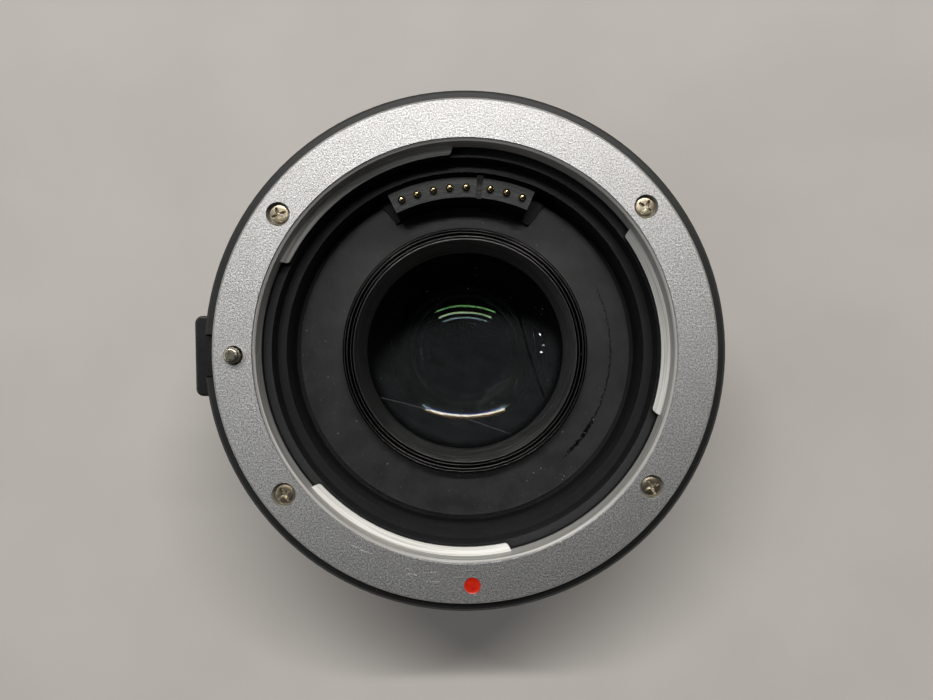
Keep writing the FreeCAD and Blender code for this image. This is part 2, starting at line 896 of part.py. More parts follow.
def face_rim(vertex_z, radius, clear_r):
    return vertex_z + sag(radius, clear_r)


def lens_levels_at_rims():
    """Heights of the seats that hold the glass."""
    front, front_back, second, second_back, doublet, cement, back = lens_levels()
    return {
        "front_seat": face_rim(front_back, front_lens_back_radius, glass_opening_r),
        "second_front": face_rim(second, second_lens_front_radius, rear_group_clear_r),
        "second_back": face_rim(second_back, second_lens_back_radius, rear_group_clear_r),
        "doublet_front": face_rim(doublet, doublet_front_radius, rear_group_clear_r),
        "doublet_back": face_rim(back, doublet_back_radius, rear_group_clear_r),
    }


def barrel_end_z():
    """The barrel ends just past the ring that holds the rear glass."""
    return lens_levels_at_rims()["doublet_back"] - rear_retainer_height - stop_gap


def lens_barrel():
    rims = lens_levels_at_rims()
    barrel_shoulder_z = rims["front_seat"] - front_seat_wall
    end_z = barrel_end_z()
    thread_r = collar_skirt_r - collar_skirt_wall - seat_gap
    flange_top_z = body_floor_z + barrel_flange_thickness
    front_bore_r = front_lens_r + seat_gap
    rear_bore_r = rear_group_r + seat_gap
    barrel = turned_solid([
        (thread_r, glass_rim_z - stop_gap),
        (thread_r, flange_top_z),
        (barrel_flange_r, flange_top_z),
        (barrel_flange_r, body_floor_z),
        (barrel_waist_r, body_floor_z),
        (barrel_waist_r, barrel_shoulder_z),
        (barrel_tail_r, barrel_shoulder_z),
        (barrel_tail_r, end_z),
        (rear_bore_r, end_z),
        (rear_bore_r, rims["second_front"]),
        (rear_group_clear_r, rims["second_front"]),
        (rear_group_clear_r, rims["front_seat"]),
        (front_bore_r, rims["front_seat"]),
        (front_bore_r, glass_rim_z - stop_gap),
    ])
    cuts = [flex_notch(body_floor_z, flange_top_z + overshoot)]
    hole_r = small_shank_r + stop_gap
    for angle in barrel_screw_angles:
        cuts.append(
            cylinder(hole_r, body_floor_z - overshoot, board_z, barrel_screw_circle_r, angle)
        )
    return barrel.cut(cuts)


def barrel_screws():
    one = small_screw(barrel_screw_length)
    top_z = body_floor_z + barrel_flange_thickness + small_head_height
    return [placed(one, barrel_screw_circle_r, angle, top_z) for angle in barrel_screw_angles]


def front_retainer_ring():
    top_z = plate_z + collar_proud
    skirt_inner_r = collar_skirt_r - collar_skirt_wall
    skirt_z = glass_rim_z - collar_skirt_length
    ring = turned_solid([
        (collar_lip_r, top_z),
        (collar_r, top_z),
        (collar_r, plate_z),
        (collar_skirt_r, plate_z),
        (collar_skirt_r, skirt_z),
        (skirt_inner_r, skirt_z),
        (skirt_inner_r, glass_rim_z),
        (glass_opening_r, glass_rim_z),
        (glass_opening_r, glass_rim_z + opening_land),
    ])
    first_r = collar_r - ridge_pitch
    grooves = [
        sector(first_r - index * ridge_pitch - ridge_width, first_r - index * ridge_pitch,
               top_z - ridge_depth, top_z + overshoot)
        for index in range(ridge_count)
    ]
    return ring.cut(grooves)


def lens(front_z, front_radius, back_z, back_radius, clear_r, edge_r, back_clear_r=None):
    """A lens turned from two spherical faces, with a flat land round each and a plain edge."""
    back_clear_r = back_clear_r or clear_r

    def face_point(vertex_z, radius, r):
        return point(r, 0, vertex_z + sag(radius, r))

    def arc(vertex_z, radius, r):
        ends = [face_point(vertex_z, radius, r * share) for share in (0.0, 0.5, 1.0)]
        return Part.Arc(*ends).toShape()

    front_rim = face_point(front_z, front_radius, clear_r)
    back_rim = face_point(back_z, back_radius, back_clear_r)
    front_edge = point(edge_r, 0, front_rim.z)
    back_edge = point(edge_r, 0, back_rim.z)
    corners = [front_rim, front_edge, back_edge, back_rim]
    pairs = [(a, b) for a, b in zip(corners, corners[1:]) if a.distanceToPoint(b) > length_tolerance]
    lines = [Part.makeLine(a, b) for a, b in pairs]
    axis = Part.makeLine(point(0, 0, front_z), point(0, 0, back_z))
    edges = [arc(front_z, front_radius, clear_r)] + lines + [arc(back_z, back_radius, back_clear_r), axis]
    outline = Part.Wire(Part.__sortEdges__(edges))
    return Part.Face(outline).revolve(point(0, 0, 0), AXIS, full_angle)


def glass():
    front, front_back, second, second_back, doublet, cement, back = lens_levels()
    clear_r = rear_group_clear_r
    edge_r = rear_group_r
    return {
        "front_lens": lens(
            front, front_lens_front_radius, front_back, front_lens_back_radius, glass_opening_r, front_lens_r
        ),
        "second_lens": lens(
            second, second_lens_front_radius, second_back, second_lens_back_radius, clear_r, edge_r
        ),
        "doublet_front_lens": lens(
            doublet, doublet_front_radius, cement, doublet_cement_radius, clear_r, edge_r, edge_r
        ),
        "doublet_rear_lens": lens(
            cement, doublet_cement_radius, back, doublet_back_radius, edge_r, edge_r, clear_r
        ),
    }


def lens_spacer_ring():
    rims = lens_levels_at_rims()
    return sector(rear_group_clear_r, rear_group_r, rims["doublet_front"], rims["second_back"])


def rear_retainer_ring():
    top_z = lens_levels_at_rims()["doublet_back"]
    low_z = barrel_end_z() + stop_gap
    return turned_solid([
        (rear_group_clear_r, top_z),
        (rear_group_r, top_z),
        (rear_group_r, low_z),
        (retainer_inner_r, low_z),
    ])


# Camera side

def camera_screw_seat_z():
    return camera_z + camera_screw_head_sink + screw_head_height


def camera_mount_ring():
    inner_r = camera_register_r - camera_register_wall
    recess_r = shroud_flange_r + seat_gap
    recess_z = body_bottom_z - stop_gap - shroud_flange_thickness - stop_gap
    end_z = camera_z - camera_register_length
    ring = turned_solid([
        (recess_r, body_bottom_z),
        (camera_flange_r, body_bottom_z),
        (camera_flange_r, camera_z + flange_edge_chamfer),
        (camera_flange_r - flange_edge_chamfer, camera_z),
        (camera_register_r, camera_z),
        (camera_register_r, end_z),
        (inner_r, end_z),
        (inner_r, recess_z),
        (recess_r, recess_z),
    ])
    root_r = camera_register_r - camera_register_wall / 2
    high_z = camera_z - lug_top
    low_z = high_z - lug_thickness
    lugs = [
        bayonet_tab(root_r, lug_r, low_z, high_z, span, lug_end_slant, lug_corner_r, False)
        for span in lug_spans
    ]
    slot_place = (camera_lock_slot_circle_r, camera_lock_slot_angle)
    cuts = [cylinder(camera_lock_slot_r, camera_z - overshoot, body_bottom_z, *slot_place)]
    for angle in camera_screw_angles:
        place = (camera_screw_circle_r, angle)
        cuts.append(cylinder(screw_shank_r + screw_hole_gap, camera_z - overshoot, 0, *place))
        cuts.append(cylinder(counterbore_r, camera_z - overshoot, camera_screw_seat_z(), *place))
    return joined([ring] + lugs).cut(cuts)


def camera_mount_screws():
    one = upside_down(mount_screw(camera_screw_length))
    low_z = camera_z + camera_screw_head_sink
    return [placed(one, camera_screw_circle_r, angle, low_z) for angle in camera_screw_angles]


def rear_shroud():
    top_z = body_bottom_z - stop_gap
    flange_low_z = top_z - shroud_flange_thickness
    shroud = turned_solid([
        (shroud_inner_r, top_z),
        (shroud_flange_r, top_z),
        (shroud_flange_r, flange_low_z),
        (shroud_r, flange_low_z),
        (shroud_r, shroud_end_z),
        (rear_block_inner_r, shroud_end_z),
        (rear_block_inner_r, shroud_floor_z),
        (shroud_inner_r, shroud_floor_z),
    ])
    turn_gap = math.degrees(slide_gap / rear_block_outer_r)
    window = sector(
        rear_block_inner_r - overshoot, rear_block_outer_r + stop_gap, shroud_end_z - overshoot,
        shroud_floor_z + overshoot, rear_block_start - turn_gap, rear_block_end + turn_gap,
    )
    ear_top_z = shroud_floor_z + rear_block_ear_height
    return shroud.cut([window, flex_notch(ear_top_z - stop_gap, body_bottom_z)])


def pad_angles():
    middle = (rear_block_start + rear_block_end) / 2
    first = middle - pad_step * (pad_count - 1) / 2
    return [first + index * pad_step for index in range(pad_count)]


def rear_pad(angle, gap):
    half_length = pad_length / 2 + gap
    half_width = pad_width / 2 + gap
    low_z = rear_face_z - pad_proud
    x_range = (pad_circle_r - half_length, pad_circle_r + half_length)
    return turned(block(x_range, (-half_width, half_width), (low_z, low_z + pad_thickness)), angle)


def rear_contact_block():
    ear_top_z = shroud_floor_z + rear_block_ear_height
    ears = sector(
        rear_block_inner_r, rear_block_outer_r, shroud_floor_z, ear_top_z,
        rear_block_start - rear_block_ear, rear_block_end + rear_block_ear,
    )
    core = sector(
        rear_block_inner_r, rear_block_outer_r, rear_face_z, ear_top_z, rear_block_start, rear_block_end
    )
    return joined([ears, core]).cut([rear_pad(angle, thread_gap) for angle in pad_angles()])


def rear_contact_pads():
    return [rear_pad(angle, 0) for angle in pad_angles()]


def rear_contact_flex():
    """A flat cable that drops from the board through the notches and turns onto the rear block."""
    low_z = shroud_floor_z + rear_block_ear_height
    outline = [
        (flex_y, board_bottom_z),
        (flex_y + flex_thickness, board_bottom_z),
        (flex_y + flex_thickness, low_z),
        (flex_tongue_y, low_z),
        (flex_tongue_y, low_z + flex_thickness),
        (flex_y, low_z + flex_thickness),
    ]
    face = polygon_face([point(-flex_half_width, y, z) for y, z in outline])
    return face.extrude(point(2 * flex_half_width, 0, 0))


def camera_dot_disc(r):
    outward = point(1, 0, 0)
    start = point(tail_r - dot_thickness, 0, camera_dot_z)
    return turned(Part.makeCylinder(r, dot_thickness + overshoot, start, outward), camera_dot_angle)


def camera_index_dot():
    return camera_dot_disc(camera_dot_r).common(cylinder(tail_r - stop_gap, camera_z, 0))


def write(name, shapes):
    """One file per node: a single solid, or a group of separate ones."""
    solids = shapes if isinstance(shapes, list) else [shapes]
    solids = [solid for shape in solids for solid in shape.Solids]
    whole = solids[0] if len(solids) == 1 else Part.makeCompound(solids)
    whole.exportStep(f"parts/{name}.step")
    low, high = whole.BoundBox.ZMin, whole.BoundBox.ZMax
    print(f"{name}: {len(solids)} solid, {whole.Volume:.2f} mm3, z {low:.2f} to {high:.2f}")


def build():
    os.makedirs("parts", exist_ok=True)
    pieces = [
        lens_mount_ring, lens_mount_screws, index_dot, tab_spring_plate, main_body, camera_index_dot,
        release_slider, lens_lock_pin, release_spring, front_contact_block, contact_block_screws,
        baffle_plate, circuit_board, board_screws, controller_chip, power_chip, board_capacitors,
        lens_barrel, barrel_screws, front_retainer_ring, lens_spacer_ring, rear_retainer_ring,
        camera_mount_ring, camera_mount_screws, rear_shroud, rear_contact_block, rear_contact_pads,
        rear_contact_flex,
    ]
    for piece in pieces:
        write(piece.__name__, piece())
    for name, shape in glass().items():
        write(name, shape)
    for index, angle in enumerate(contact_angles(), start=1):
        write(f"contact_pin_{index}", contact_pin(angle))
        write(f"contact_spring_{index}", contact_spring(angle))


build()
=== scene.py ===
# %% [markdown]
# # Focal reducer adapter
# The adapter lies on its camera side and is seen straight from above, into its lens side. A silver
# bayonet ring carries the lens, and a glass group sits in a black collar at the bottom of a black
# bore. The shapes that move and fasten come packed from the CAD. This lesson adds what a render
# needs: turned and polished surfaces that stay smooth close up, glass that bends and mirrors light,
# and finishes with the grain, dust and wear of the real pieces.

import json
import math

import bpy
import numpy as np
from mathutils import Matrix, Vector


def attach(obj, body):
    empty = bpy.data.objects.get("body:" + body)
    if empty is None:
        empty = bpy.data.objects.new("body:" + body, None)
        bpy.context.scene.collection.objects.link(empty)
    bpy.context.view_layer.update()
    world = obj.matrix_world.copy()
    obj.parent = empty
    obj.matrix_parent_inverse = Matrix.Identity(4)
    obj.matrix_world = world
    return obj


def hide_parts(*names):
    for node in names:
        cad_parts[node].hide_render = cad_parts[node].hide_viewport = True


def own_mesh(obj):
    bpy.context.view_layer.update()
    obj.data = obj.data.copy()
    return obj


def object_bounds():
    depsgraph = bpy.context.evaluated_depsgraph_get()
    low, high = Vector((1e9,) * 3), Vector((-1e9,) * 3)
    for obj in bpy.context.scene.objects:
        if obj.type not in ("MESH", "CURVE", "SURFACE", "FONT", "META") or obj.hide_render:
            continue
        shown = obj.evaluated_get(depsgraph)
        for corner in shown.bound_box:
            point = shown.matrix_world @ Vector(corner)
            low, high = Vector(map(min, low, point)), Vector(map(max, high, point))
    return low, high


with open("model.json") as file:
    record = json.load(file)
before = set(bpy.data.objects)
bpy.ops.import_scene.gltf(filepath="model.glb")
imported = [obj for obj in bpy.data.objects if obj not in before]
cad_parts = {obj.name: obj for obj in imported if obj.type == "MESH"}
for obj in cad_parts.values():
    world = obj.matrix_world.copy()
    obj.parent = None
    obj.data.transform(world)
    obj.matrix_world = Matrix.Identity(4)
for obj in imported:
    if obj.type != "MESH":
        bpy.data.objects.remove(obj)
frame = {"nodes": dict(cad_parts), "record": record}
cad_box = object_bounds()
MM = 0.001

# %% [markdown]
# ## Camera
# The circles at every depth of the photograph share one centre, so the camera stands on the optical
# axis. Their sizes shrink with depth as from 89.8 mm above the lens flange, and the picture is
# turned by 1.2 degrees. Two tiny tilts move the picture by the pixel or so that the photograph is
# off centre.

# %% The photograph's camera
PICTURE_WIDTH, PICTURE_HEIGHT = 933, 700
FOCAL_PIXELS = 701.0
CAMERA_HEIGHT = 89.8
CAMERA_ROLL = -1.2
CENTRE = (465.1, 350.6)

optics = bpy.data.cameras.new("copy_stand")
optics.sensor_width = 36.0
optics.lens = FOCAL_PIXELS / PICTURE_WIDTH * optics.sensor_width
optics.clip_start = 0.005
stand = bpy.data.objects.new("copy_stand", optics)
stand.location = (0, 0, CAMERA_HEIGHT * MM)
stand.rotation_euler = (
    math.atan((CENTRE[1] - PICTURE_HEIGHT / 2) / FOCAL_PIXELS),
    math.atan((CENTRE[0] - PICTURE_WIDTH / 2) / FOCAL_PIXELS),
    math.radians(CAMERA_ROLL),
)
bpy.context.scene.collection.objects.link(stand)
bpy.context.scene.camera = stand
print("lens", round(optics.lens, 2), "mm")

# %% [markdown]
# Marks such as a scratch are easiest to place by the pixel at which the photograph shows them. A
# pixel is a ray, so it also needs the height of the surface that it lands on.

# %% From a pixel to a place on the object
def seen_at(pixel, height):
    """Millimetres on the object: the pixel's offset from the centre, turned back by the camera's
    roll, times the distance from the camera over the focal length."""
    across, up = pixel[0] - CENTRE[0], CENTRE[1] - pixel[1]
    turn = math.radians(CAMERA_ROLL)
    scale = (CAMERA_HEIGHT - height) / FOCAL_PIXELS
    return (
        (across * math.cos(turn) - up * math.sin(turn)) * scale,
        (across * math.sin(turn) + up * math.cos(turn)) * scale,
    )


print("index dot at", [round(v, 2) for v in seen_at((473.5, 586.0), 0)])

# %% [markdown]
# ## Shader sums
# A finish is mostly arithmetic on a point's place: its radius, its angle, a grain. So a small class
# wraps a node's socket, and a sum on wraps adds the Math node for it. Colours are blended by a Mix
# node, because a Math node would turn them grey.

# %% A wrapped socket
class Wire:
    """One socket. Sums on it add Math nodes."""

    def __init__(self, recipe, socket):
        self.recipe, self.socket = recipe, socket

    def math(self, operation, *values):
        sockets = dict(enumerate((self,) + values))
        return self.recipe.node("ShaderNodeMath", {"operation": operation}, sockets)

    def __add__(self, other):
        return self.math("ADD", other)

    def __radd__(self, other):
        return self.math("ADD", other)

    def __sub__(self, other):
        return self.math("SUBTRACT", other)

    def __rsub__(self, other):
        return (self * -1.0) + other

    def __mul__(self, other):
        return self.math("MULTIPLY", other)

    def __rmul__(self, other):
        return self.math("MULTIPLY", other)

    def __truediv__(self, other):
        return self.math("DIVIDE", other)

    def __pow__(self, other):
        return self.math("POWER", other)


# %% A tree of nodes
class Recipe:
    """A node tree. Its node method makes any node, and the other methods are usual steps."""

    def __init__(self, tree):
        self.tree = tree
        tree.nodes.clear()

    def node(self, kind, settings=None, sockets=None, output=0):
        """Makes a node, sets it, fills its sockets with values or wires, and wraps one output."""
        made = self.tree.nodes.new(kind)
        for key, value in (settings or {}).items():
            setattr(made, key, value)
        for key, value in (sockets or {}).items():
            if isinstance(value, Wire):
                self.tree.links.new(value.socket, made.inputs[key])
            else:
                made.inputs[key].default_value = value
        return Wire(self, made.outputs[output]) if made.outputs else None

    def parts(self, vector):
        """The three numbers of a vector."""
        return [self.node("ShaderNodeSeparateXYZ", {}, {0: vector}, output=i) for i in range(3)]

    def ramp(self, value, low, high, first=0.0, last=1.0):
        """A smooth step: first where value is at most low, last where it is at least high."""
        sockets = {0: value, 1: low, 2: high, 3: first, 4: last}
        if low > high:
            sockets = {0: value, 1: high, 2: low, 3: last, 4: first}
        return self.node("ShaderNodeMapRange", {"interpolation_type": "SMOOTHSTEP"}, sockets)

    def band(self, value, low, high, soft):
        """One between low and high, nothing outside, with soft edges."""
        return self.ramp(value, low - soft, low + soft) * self.ramp(value, high + soft, high - soft)

    def mixed(self, mask, first, last):
        """One colour where the mask is nothing, the other where it is one."""
        sockets = {0: mask, 6: first, 7: last}
        return self.node("ShaderNodeMix", {"data_type": "RGBA"}, sockets, output=2)


# %% [markdown]
# ## Light
# The shadows on the floor and under the collar are 0.78 times as long as the edges that cast them
# are high, so a long tube hangs at twelve o'clock, 38 degrees from the vertical. The plate is lit
# right up to the contact block, while the ledge above it is black: only a dim strip of ceiling, 11
# to 16 degrees from the vertical, reaches the one and not the other. A window on the left lights
# the right-hand walls.

# %% Lamps
def lamp(name, place, along, length, width, radiance, tint):
    """A rectangle that faces the origin. Its power is radiance times area times pi."""
    away = place.normalized()
    along = (along - away * along.dot(away)).normalized()
    data = bpy.data.lights.new(name, "AREA")
    data.shape = "RECTANGLE"
    data.size, data.size_y = length, width
    data.energy = radiance * length * width * math.pi
    data.color = tint
    made = bpy.data.objects.new(name, data)
    turn = Matrix((along, away.cross(along), away)).transposed()
    made.matrix_world = Matrix.Translation(place) @ turn.to_4x4()
    bpy.context.scene.collection.objects.link(made)
    return made


def towards(angle, tilt, distance):
    """A place at an angle about the axis and a tilt from it."""
    turn, lean = math.radians(angle), math.radians(tilt)
    flat = math.sin(lean) * distance
    return Vector((flat * math.cos(turn), flat * math.sin(turn), distance * math.cos(lean)))


SIDE, ACROSS = Vector((0, 1, 0)), Vector((1, 0, 0))
TWELVE_OCLOCK, WINDOW_ANGLE = 90, 183
tube_place = towards(TWELVE_OCLOCK, 38, 1.5)
ceiling_place = towards(TWELVE_OCLOCK, 13.7, 1.5)
window_place = towards(WINDOW_ANGLE, 52, 1.6)
bench_lamps = [
    lamp("tube", tube_place, ACROSS, 1.7, 0.06, 68.0, (1.0, 0.98, 0.95)),
    lamp("ceiling", ceiling_place, ACROSS, 0.7, 0.12, 8.0, (1.0, 1.0, 0.98)),
    lamp("window", window_place, SIDE, 1.2, 1.2, 0.8, (0.95, 0.98, 1.0)),
]
print("bench lamps", [held.name for held in bench_lamps])

# %% [markdown]
# The camera and what held it kept the light from straight above off the adapter. That is why its
# bore is so dark. So the room is dim overhead, and brighter low down and towards twelve o'clock. A
# world's Generated coordinate is the direction of a ray.

# %% The room
sky = bpy.data.worlds.new("room")
sky.use_nodes = True
room = Recipe(sky.node_tree)
ray_x, ray_y, ray_z = room.parts(room.node("ShaderNodeTexCoord"))
level = room.ramp(ray_y, -0.6, 0.8, 0.02, 0.16) * room.ramp(ray_x, -0.7, 0.7, 1.1, 0.8)
level = level * room.ramp(ray_z, 0.93, 0.5, 0.2, 1.0)
room_colour = room.mixed(level, (0, 0, 0, 1), (0.94, 0.97, 1.0, 1))
backdrop = room.node("ShaderNodeBackground", {}, {"Color": room_colour})
room.node("ShaderNodeOutputWorld", {}, {"Surface": backdrop})
bpy.context.scene.world = sky
bpy.context.scene.view_settings.view_transform = "Standard"

# %% [markdown]
# ## What the finishes share
# Every finish works in millimetres on Object coordinates, so that a grain has its real size.
# Turning lines run round the axis, so they read a place that is unrolled about it. Dust is a random
# pattern with one small dot in some of its cells.

# %% A material with its places and grains
def grey(value, warm=0.0):
    """A grey that is a little warmer, or cooler where warm is negative."""
    return (value * (1 + warm), value, value * (1 - warm), 1)


class Paint(Recipe):
    """A material in millimetres."""

    def __init__(self, name):
        self.material = bpy.data.materials.new(name)
        self.material.use_nodes = True
        super().__init__(self.material.node_tree)
        place = self.node("ShaderNodeTexCoord", output=3)
        in_mm = {0: place, "Scale": 1 / MM}
        self.place = self.node("ShaderNodeVectorMath", {"operation": "SCALE"}, in_mm)
        self.x, self.y, self.z = self.parts(self.place)
        self.r = (self.x * self.x + self.y * self.y) ** 0.5
        self.angle = self.y.math("ARCTAN2", self.x) * (180 / math.pi)

    def noise(self, scale, detail=2.0, rough=0.5, place=None):
        sockets = {
            "Vector": place or self.place, "Scale": scale, "Detail": detail, "Roughness": rough,
        }
        return self.node("ShaderNodeTexNoise", {}, sockets)

    def specks(self, scale, size):
        """A round dot in each cell, of a size in cells."""
        far = self.node("ShaderNodeTexVoronoi", {}, {"Vector": self.place, "Scale": scale})
        return self.ramp(far, size, size * 0.5)

    def dust(self, amount=1.0):
        """Specks that only some places have, and a finer kind between them."""
        large = self.specks(0.9, 0.075) * self.ramp(self.noise(0.45), 0.5, 0.6)
        small = self.specks(2.4, 0.11) * self.ramp(self.noise(1.1), 0.54, 0.62)
        return (large * 0.8).math("MAXIMUM", small * 0.4) * amount

    def unrolled(self, along, across):
        """A place unrolled about the axis: turning lines run long round it and fine across."""
        sockets = {0: self.angle * along, 1: self.r * across, 2: self.z * across}
        return self.node("ShaderNodeCombineXYZ", {}, sockets)

    def stroke(self, start, end, width, bow=0.0):
        """One on a thin line between two points. It bows sideways as a parabola."""
        length = math.hypot(end[0] - start[0], end[1] - start[1])
        c, s = (end[0] - start[0]) / length, (end[1] - start[1]) / length
        along = ((self.x - start[0]) * c + (self.y - start[1]) * s) / length
        across = (self.y - start[1]) * c - (self.x - start[0]) * s
        across = across + (along - along * along) * (4 * bow)
        near = self.ramp(across.math("ABSOLUTE"), width, width * 0.3)
        return near * self.band(along, 0.04, 0.96, 0.04)

    def bump(self, height, depth):
        """A height of 0 to 1 turned into a tilt of the surface, depth millimetres tall."""
        sockets = {"Height": height, "Distance": depth * MM, "Strength": 1.0}
        return self.node("ShaderNodeBump", {}, sockets)

    def shader(self, **sockets):
        """The surface shader, its sockets filled by name."""
        named = {key.replace("_", " "): value for key, value in sockets.items()}
        return self.node("ShaderNodeBsdfPrincipled", {}, named)

    def done(self, surface):
        self.node("ShaderNodeOutputMaterial", {}, {"Surface": surface})
        return self.material


# %% Give a CAD slot its finish
def coat(slot, material):
    """Gives every CAD node of a material slot its finish."""
    names = [s["node"] for s in frame["record"]["subparts"] if s["material_slot"] == slot]
    for name in names:
        for held in frame["nodes"][name].material_slots:
            held.material = material
    print(slot, "on", len(names))


# %% [markdown]
# ## The lens ring's metal
# The flange is blasted with fine beads, so it is a satin grey that sparkles. The throat and the
# tabs were turned on a lathe and rub against lenses: they are paler, warmer and duller, with lines
# round the axis. They face a dark bore, and a full metal would only mirror that, so they are metal
# in part. One material tells the two apart by height and radius. Lenses have also left thin bright
# marks on the face. The foot of the throat is painted black, as painted shade.

# %% Bead-blasted and turned ring
def ring_metal(name, face_z, face_inner_r, up=1.0, foot=-3.15, scratches=()):
    ring = Paint(name)
    depth = (ring.z - face_z) * up
    near_face = ring.ramp(depth, -0.2, -0.12)
    blasted = near_face * ring.ramp(ring.r, face_inner_r + 0.25, face_inner_r + 0.33)
    fine = ring.noise(4.6, 3.0, 0.8)
    turning = ring.noise(1.0, 3.0, 0.6, ring.unrolled(0.03, 7.0))
    cloud = ring.noise(0.3, 4.0, 0.6)
    nicks = ring.ramp(ring.noise(1.0, 2.0, 0.5, ring.unrolled(0.6, 5.0)), 0.7, 0.76)
    nicks = nicks * ring.ramp(ring.noise(0.3, 2.0), 0.5, 0.6)
    stains = ring.ramp(ring.noise(1.3, 3.0, 0.6), 0.66, 0.74) * ring.ramp(cloud, 0.52, 0.6)
    face = ring.mixed(ring.ramp(fine, 0.35, 0.65), grey(0.27, 0.01), grey(0.68, 0.005))
    face = ring.mixed(ring.ramp(cloud, 0.4, 0.65) * 0.2, face, grey(0.38, 0.03))
    face = ring.mixed(stains * 0.45, face, grey(0.16, 0.05))
    face = ring.mixed(nicks, face, grey(0.9))
    wall = ring.mixed(ring.ramp(turning, 0.35, 0.65), (0.42, 0.41, 0.38, 1), (0.74, 0.73, 0.7, 1))
    # Below the foot height the wall is painted near black: painted shade.
    wall = ring.mixed(ring.ramp(depth, foot + 0.06, foot - 0.06), wall, grey(0.01))
    rough = blasted * (ring.ramp(fine, 0.2, 0.8) * 0.1 - nicks * 0.15 - 0.12) + 0.52
    rough = rough + (1.0 - blasted) * ring.ramp(turning, 0.3, 0.8) * 0.1
    height = blasted * fine + (1.0 - blasted) * turning * 0.2
    for start, end in scratches:
        mark = ring.stroke(start, end, 0.09) * ring.ramp(fine, 0.3, 0.6)
        face = ring.mixed(mark, face, grey(0.95))
    return ring.done(ring.shader(
        Base_Color=ring.mixed(blasted, wall, face), Metallic=blasted * 0.65 + 0.35, Roughness=rough,
        Normal=ring.bump(height, 0.05),
    ))


flange_scratches = [
    (seen_at(start, 0.0), seen_at(end, 0.0)) for start, end in [
        ((351, 545), (362, 549)), ((359, 549), (373, 554)), ((406, 573), (417, 575)),
        ((426, 581), (441, 582)), ((405, 568), (412, 570)), ((430, 572), (439, 572)),
    ]
]
THROAT_R, CAMERA_FACE_Z, REGISTER_EDGE_R = 27.0, -20.0, 18.8
coat("lens_ring", ring_metal("blasted_lens_ring", 0.0, THROAT_R, scratches=flange_scratches))
coat("camera_ring", ring_metal("blasted_camera_ring", CAMERA_FACE_Z, REGISTER_EDGE_R, -1.0, -9.0))

# %% [markdown]
# ## Black shell
# The body is aluminium, blasted and anodised black. Anodising leaves a fine dry grain, and dust
# settles in the bore. Turned pieces such as the collar carry their lines too: fine lines spread the
# light only across them, so a lamp lights them up at the side that faces it and leaves the other
# sides dark.

# %% Anodised body, slider, barrel and collar
def anodised(name, base, rough, grain_height, gloss=0.35, dust=0.0, turning=0.0):
    shell = Paint(name)
    grain = shell.noise(7.0, 3.0, 0.6)
    cloud = shell.noise(0.25, 3.0)
    lines = shell.noise(1.0, 3.0, 0.7, shell.unrolled(0.01, 8.0))
    dark, light = grey(base * 0.8, -0.03), grey(base * 1.25, -0.04)
    colour = shell.mixed(shell.ramp(cloud, 0.3, 0.7), dark, light)
    if dust:
        colour = shell.mixed(shell.dust(dust), colour, grey(0.5, 0.02))
    height = grain * (1 - turning) + lines * turning
    return shell.done(shell.shader(
        Base_Color=colour, Roughness=shell.ramp(grain, 0.2, 0.8) * 0.1 + (rough - 0.05),
        Specular_IOR_Level=gloss, Normal=shell.bump(height, grain_height),
    ))


coat("body_black", anodised("anodised_body", 0.006, 0.42, 0.02, 0.45, dust=0.4))
coat("slider_black", anodised("anodised_slider", 0.007, 0.3, 0.012, 0.5))
coat("barrel_black", anodised("blackened_barrel", 0.0012, 0.8, 0.02, 0.06, turning=0.5))

# %% [markdown]
# ## The collar's two finishes
# The collar's ridged face is smooth and nearly black, but its crests are worn to bare metal and
# catch the lamp as thin lines. Its inner cone was left as the lathe cut it: coarse lines spread the
# lamp over it at six o'clock, and it goes darker where it faces away.

# %% Smooth ridges and a rough-turned cone
CREST_Z, WORN_FROM, WORN_FULLY = -10.8, -10.87, -10.81
collar = Paint("anodised_collar")
cone = collar.ramp(collar.r, 16.06, 15.9)
lines = collar.noise(1.0, 3.0, 0.7, collar.unrolled(0.012, 7.0))
worn = cone.math("MAXIMUM", collar.ramp(collar.z, WORN_FROM, WORN_FULLY))
bare_metal = collar.mixed(collar.ramp(lines, 0.3, 0.7), grey(0.07), grey(0.14))
collar_shade = collar.mixed(worn, grey(0.001), bare_metal)
collar_shade = collar.mixed(collar.dust(0.8), collar_shade, grey(0.4, 0.02))
collar_black = collar.done(collar.shader(
    Base_Color=collar_shade, Metallic=worn, Roughness=cone * 0.18 + 0.27, Specular_IOR_Level=0.3,
    Normal=collar.bump(lines * (cone * 0.95 + 0.05), 0.07),
))
coat("collar_black", collar_black)

# %% [markdown]
# ## Baffle plate
# A flat plate, sprayed matt black, closes the bore round the collar. It is the palest of the
# blacks, it is dusty, and something has rubbed an arc smooth on its right side, darkest at the
# lower right.

# %% Matt plate with dust and a scuffed arc
plate = Paint("matt_plate")
powder = plate.noise(6.0, 3.0, 0.6)
drift = plate.noise(0.3, 4.0, 0.6)
wobble = (plate.noise(0.9, 3.0, 0.6) - 0.5) * 0.6
worn = plate.ramp(plate.noise(3.2, 3.0), 0.3, 0.48)
arc = plate.band(plate.r + wobble, 21.06, 21.3, 0.07) * plate.band(plate.angle, -48.0, 26.0, 5.0)
heavy = plate.band(plate.r + wobble, 20.9, 21.4, 0.12) * plate.band(plate.angle, -46.0, -29.0, 3.0)
scuff = (arc * 0.75).math("MAXIMUM", heavy) * worn
shade = plate.mixed(plate.ramp(drift, 0.3, 0.7), grey(0.016, -0.03), grey(0.027, -0.03))
shade = plate.mixed(scuff, shade, grey(0.002))
shade = plate.mixed(plate.dust(), shade, grey(0.5, 0.02))
coat("baffle_black", plate.done(plate.shader(
    Base_Color=shade, Roughness=plate.ramp(powder, 0.2, 0.8) * 0.1 - scuff * 0.18 + 0.3,
    Specular_IOR_Level=0.5, Normal=plate.bump(powder, 0.02),
)))

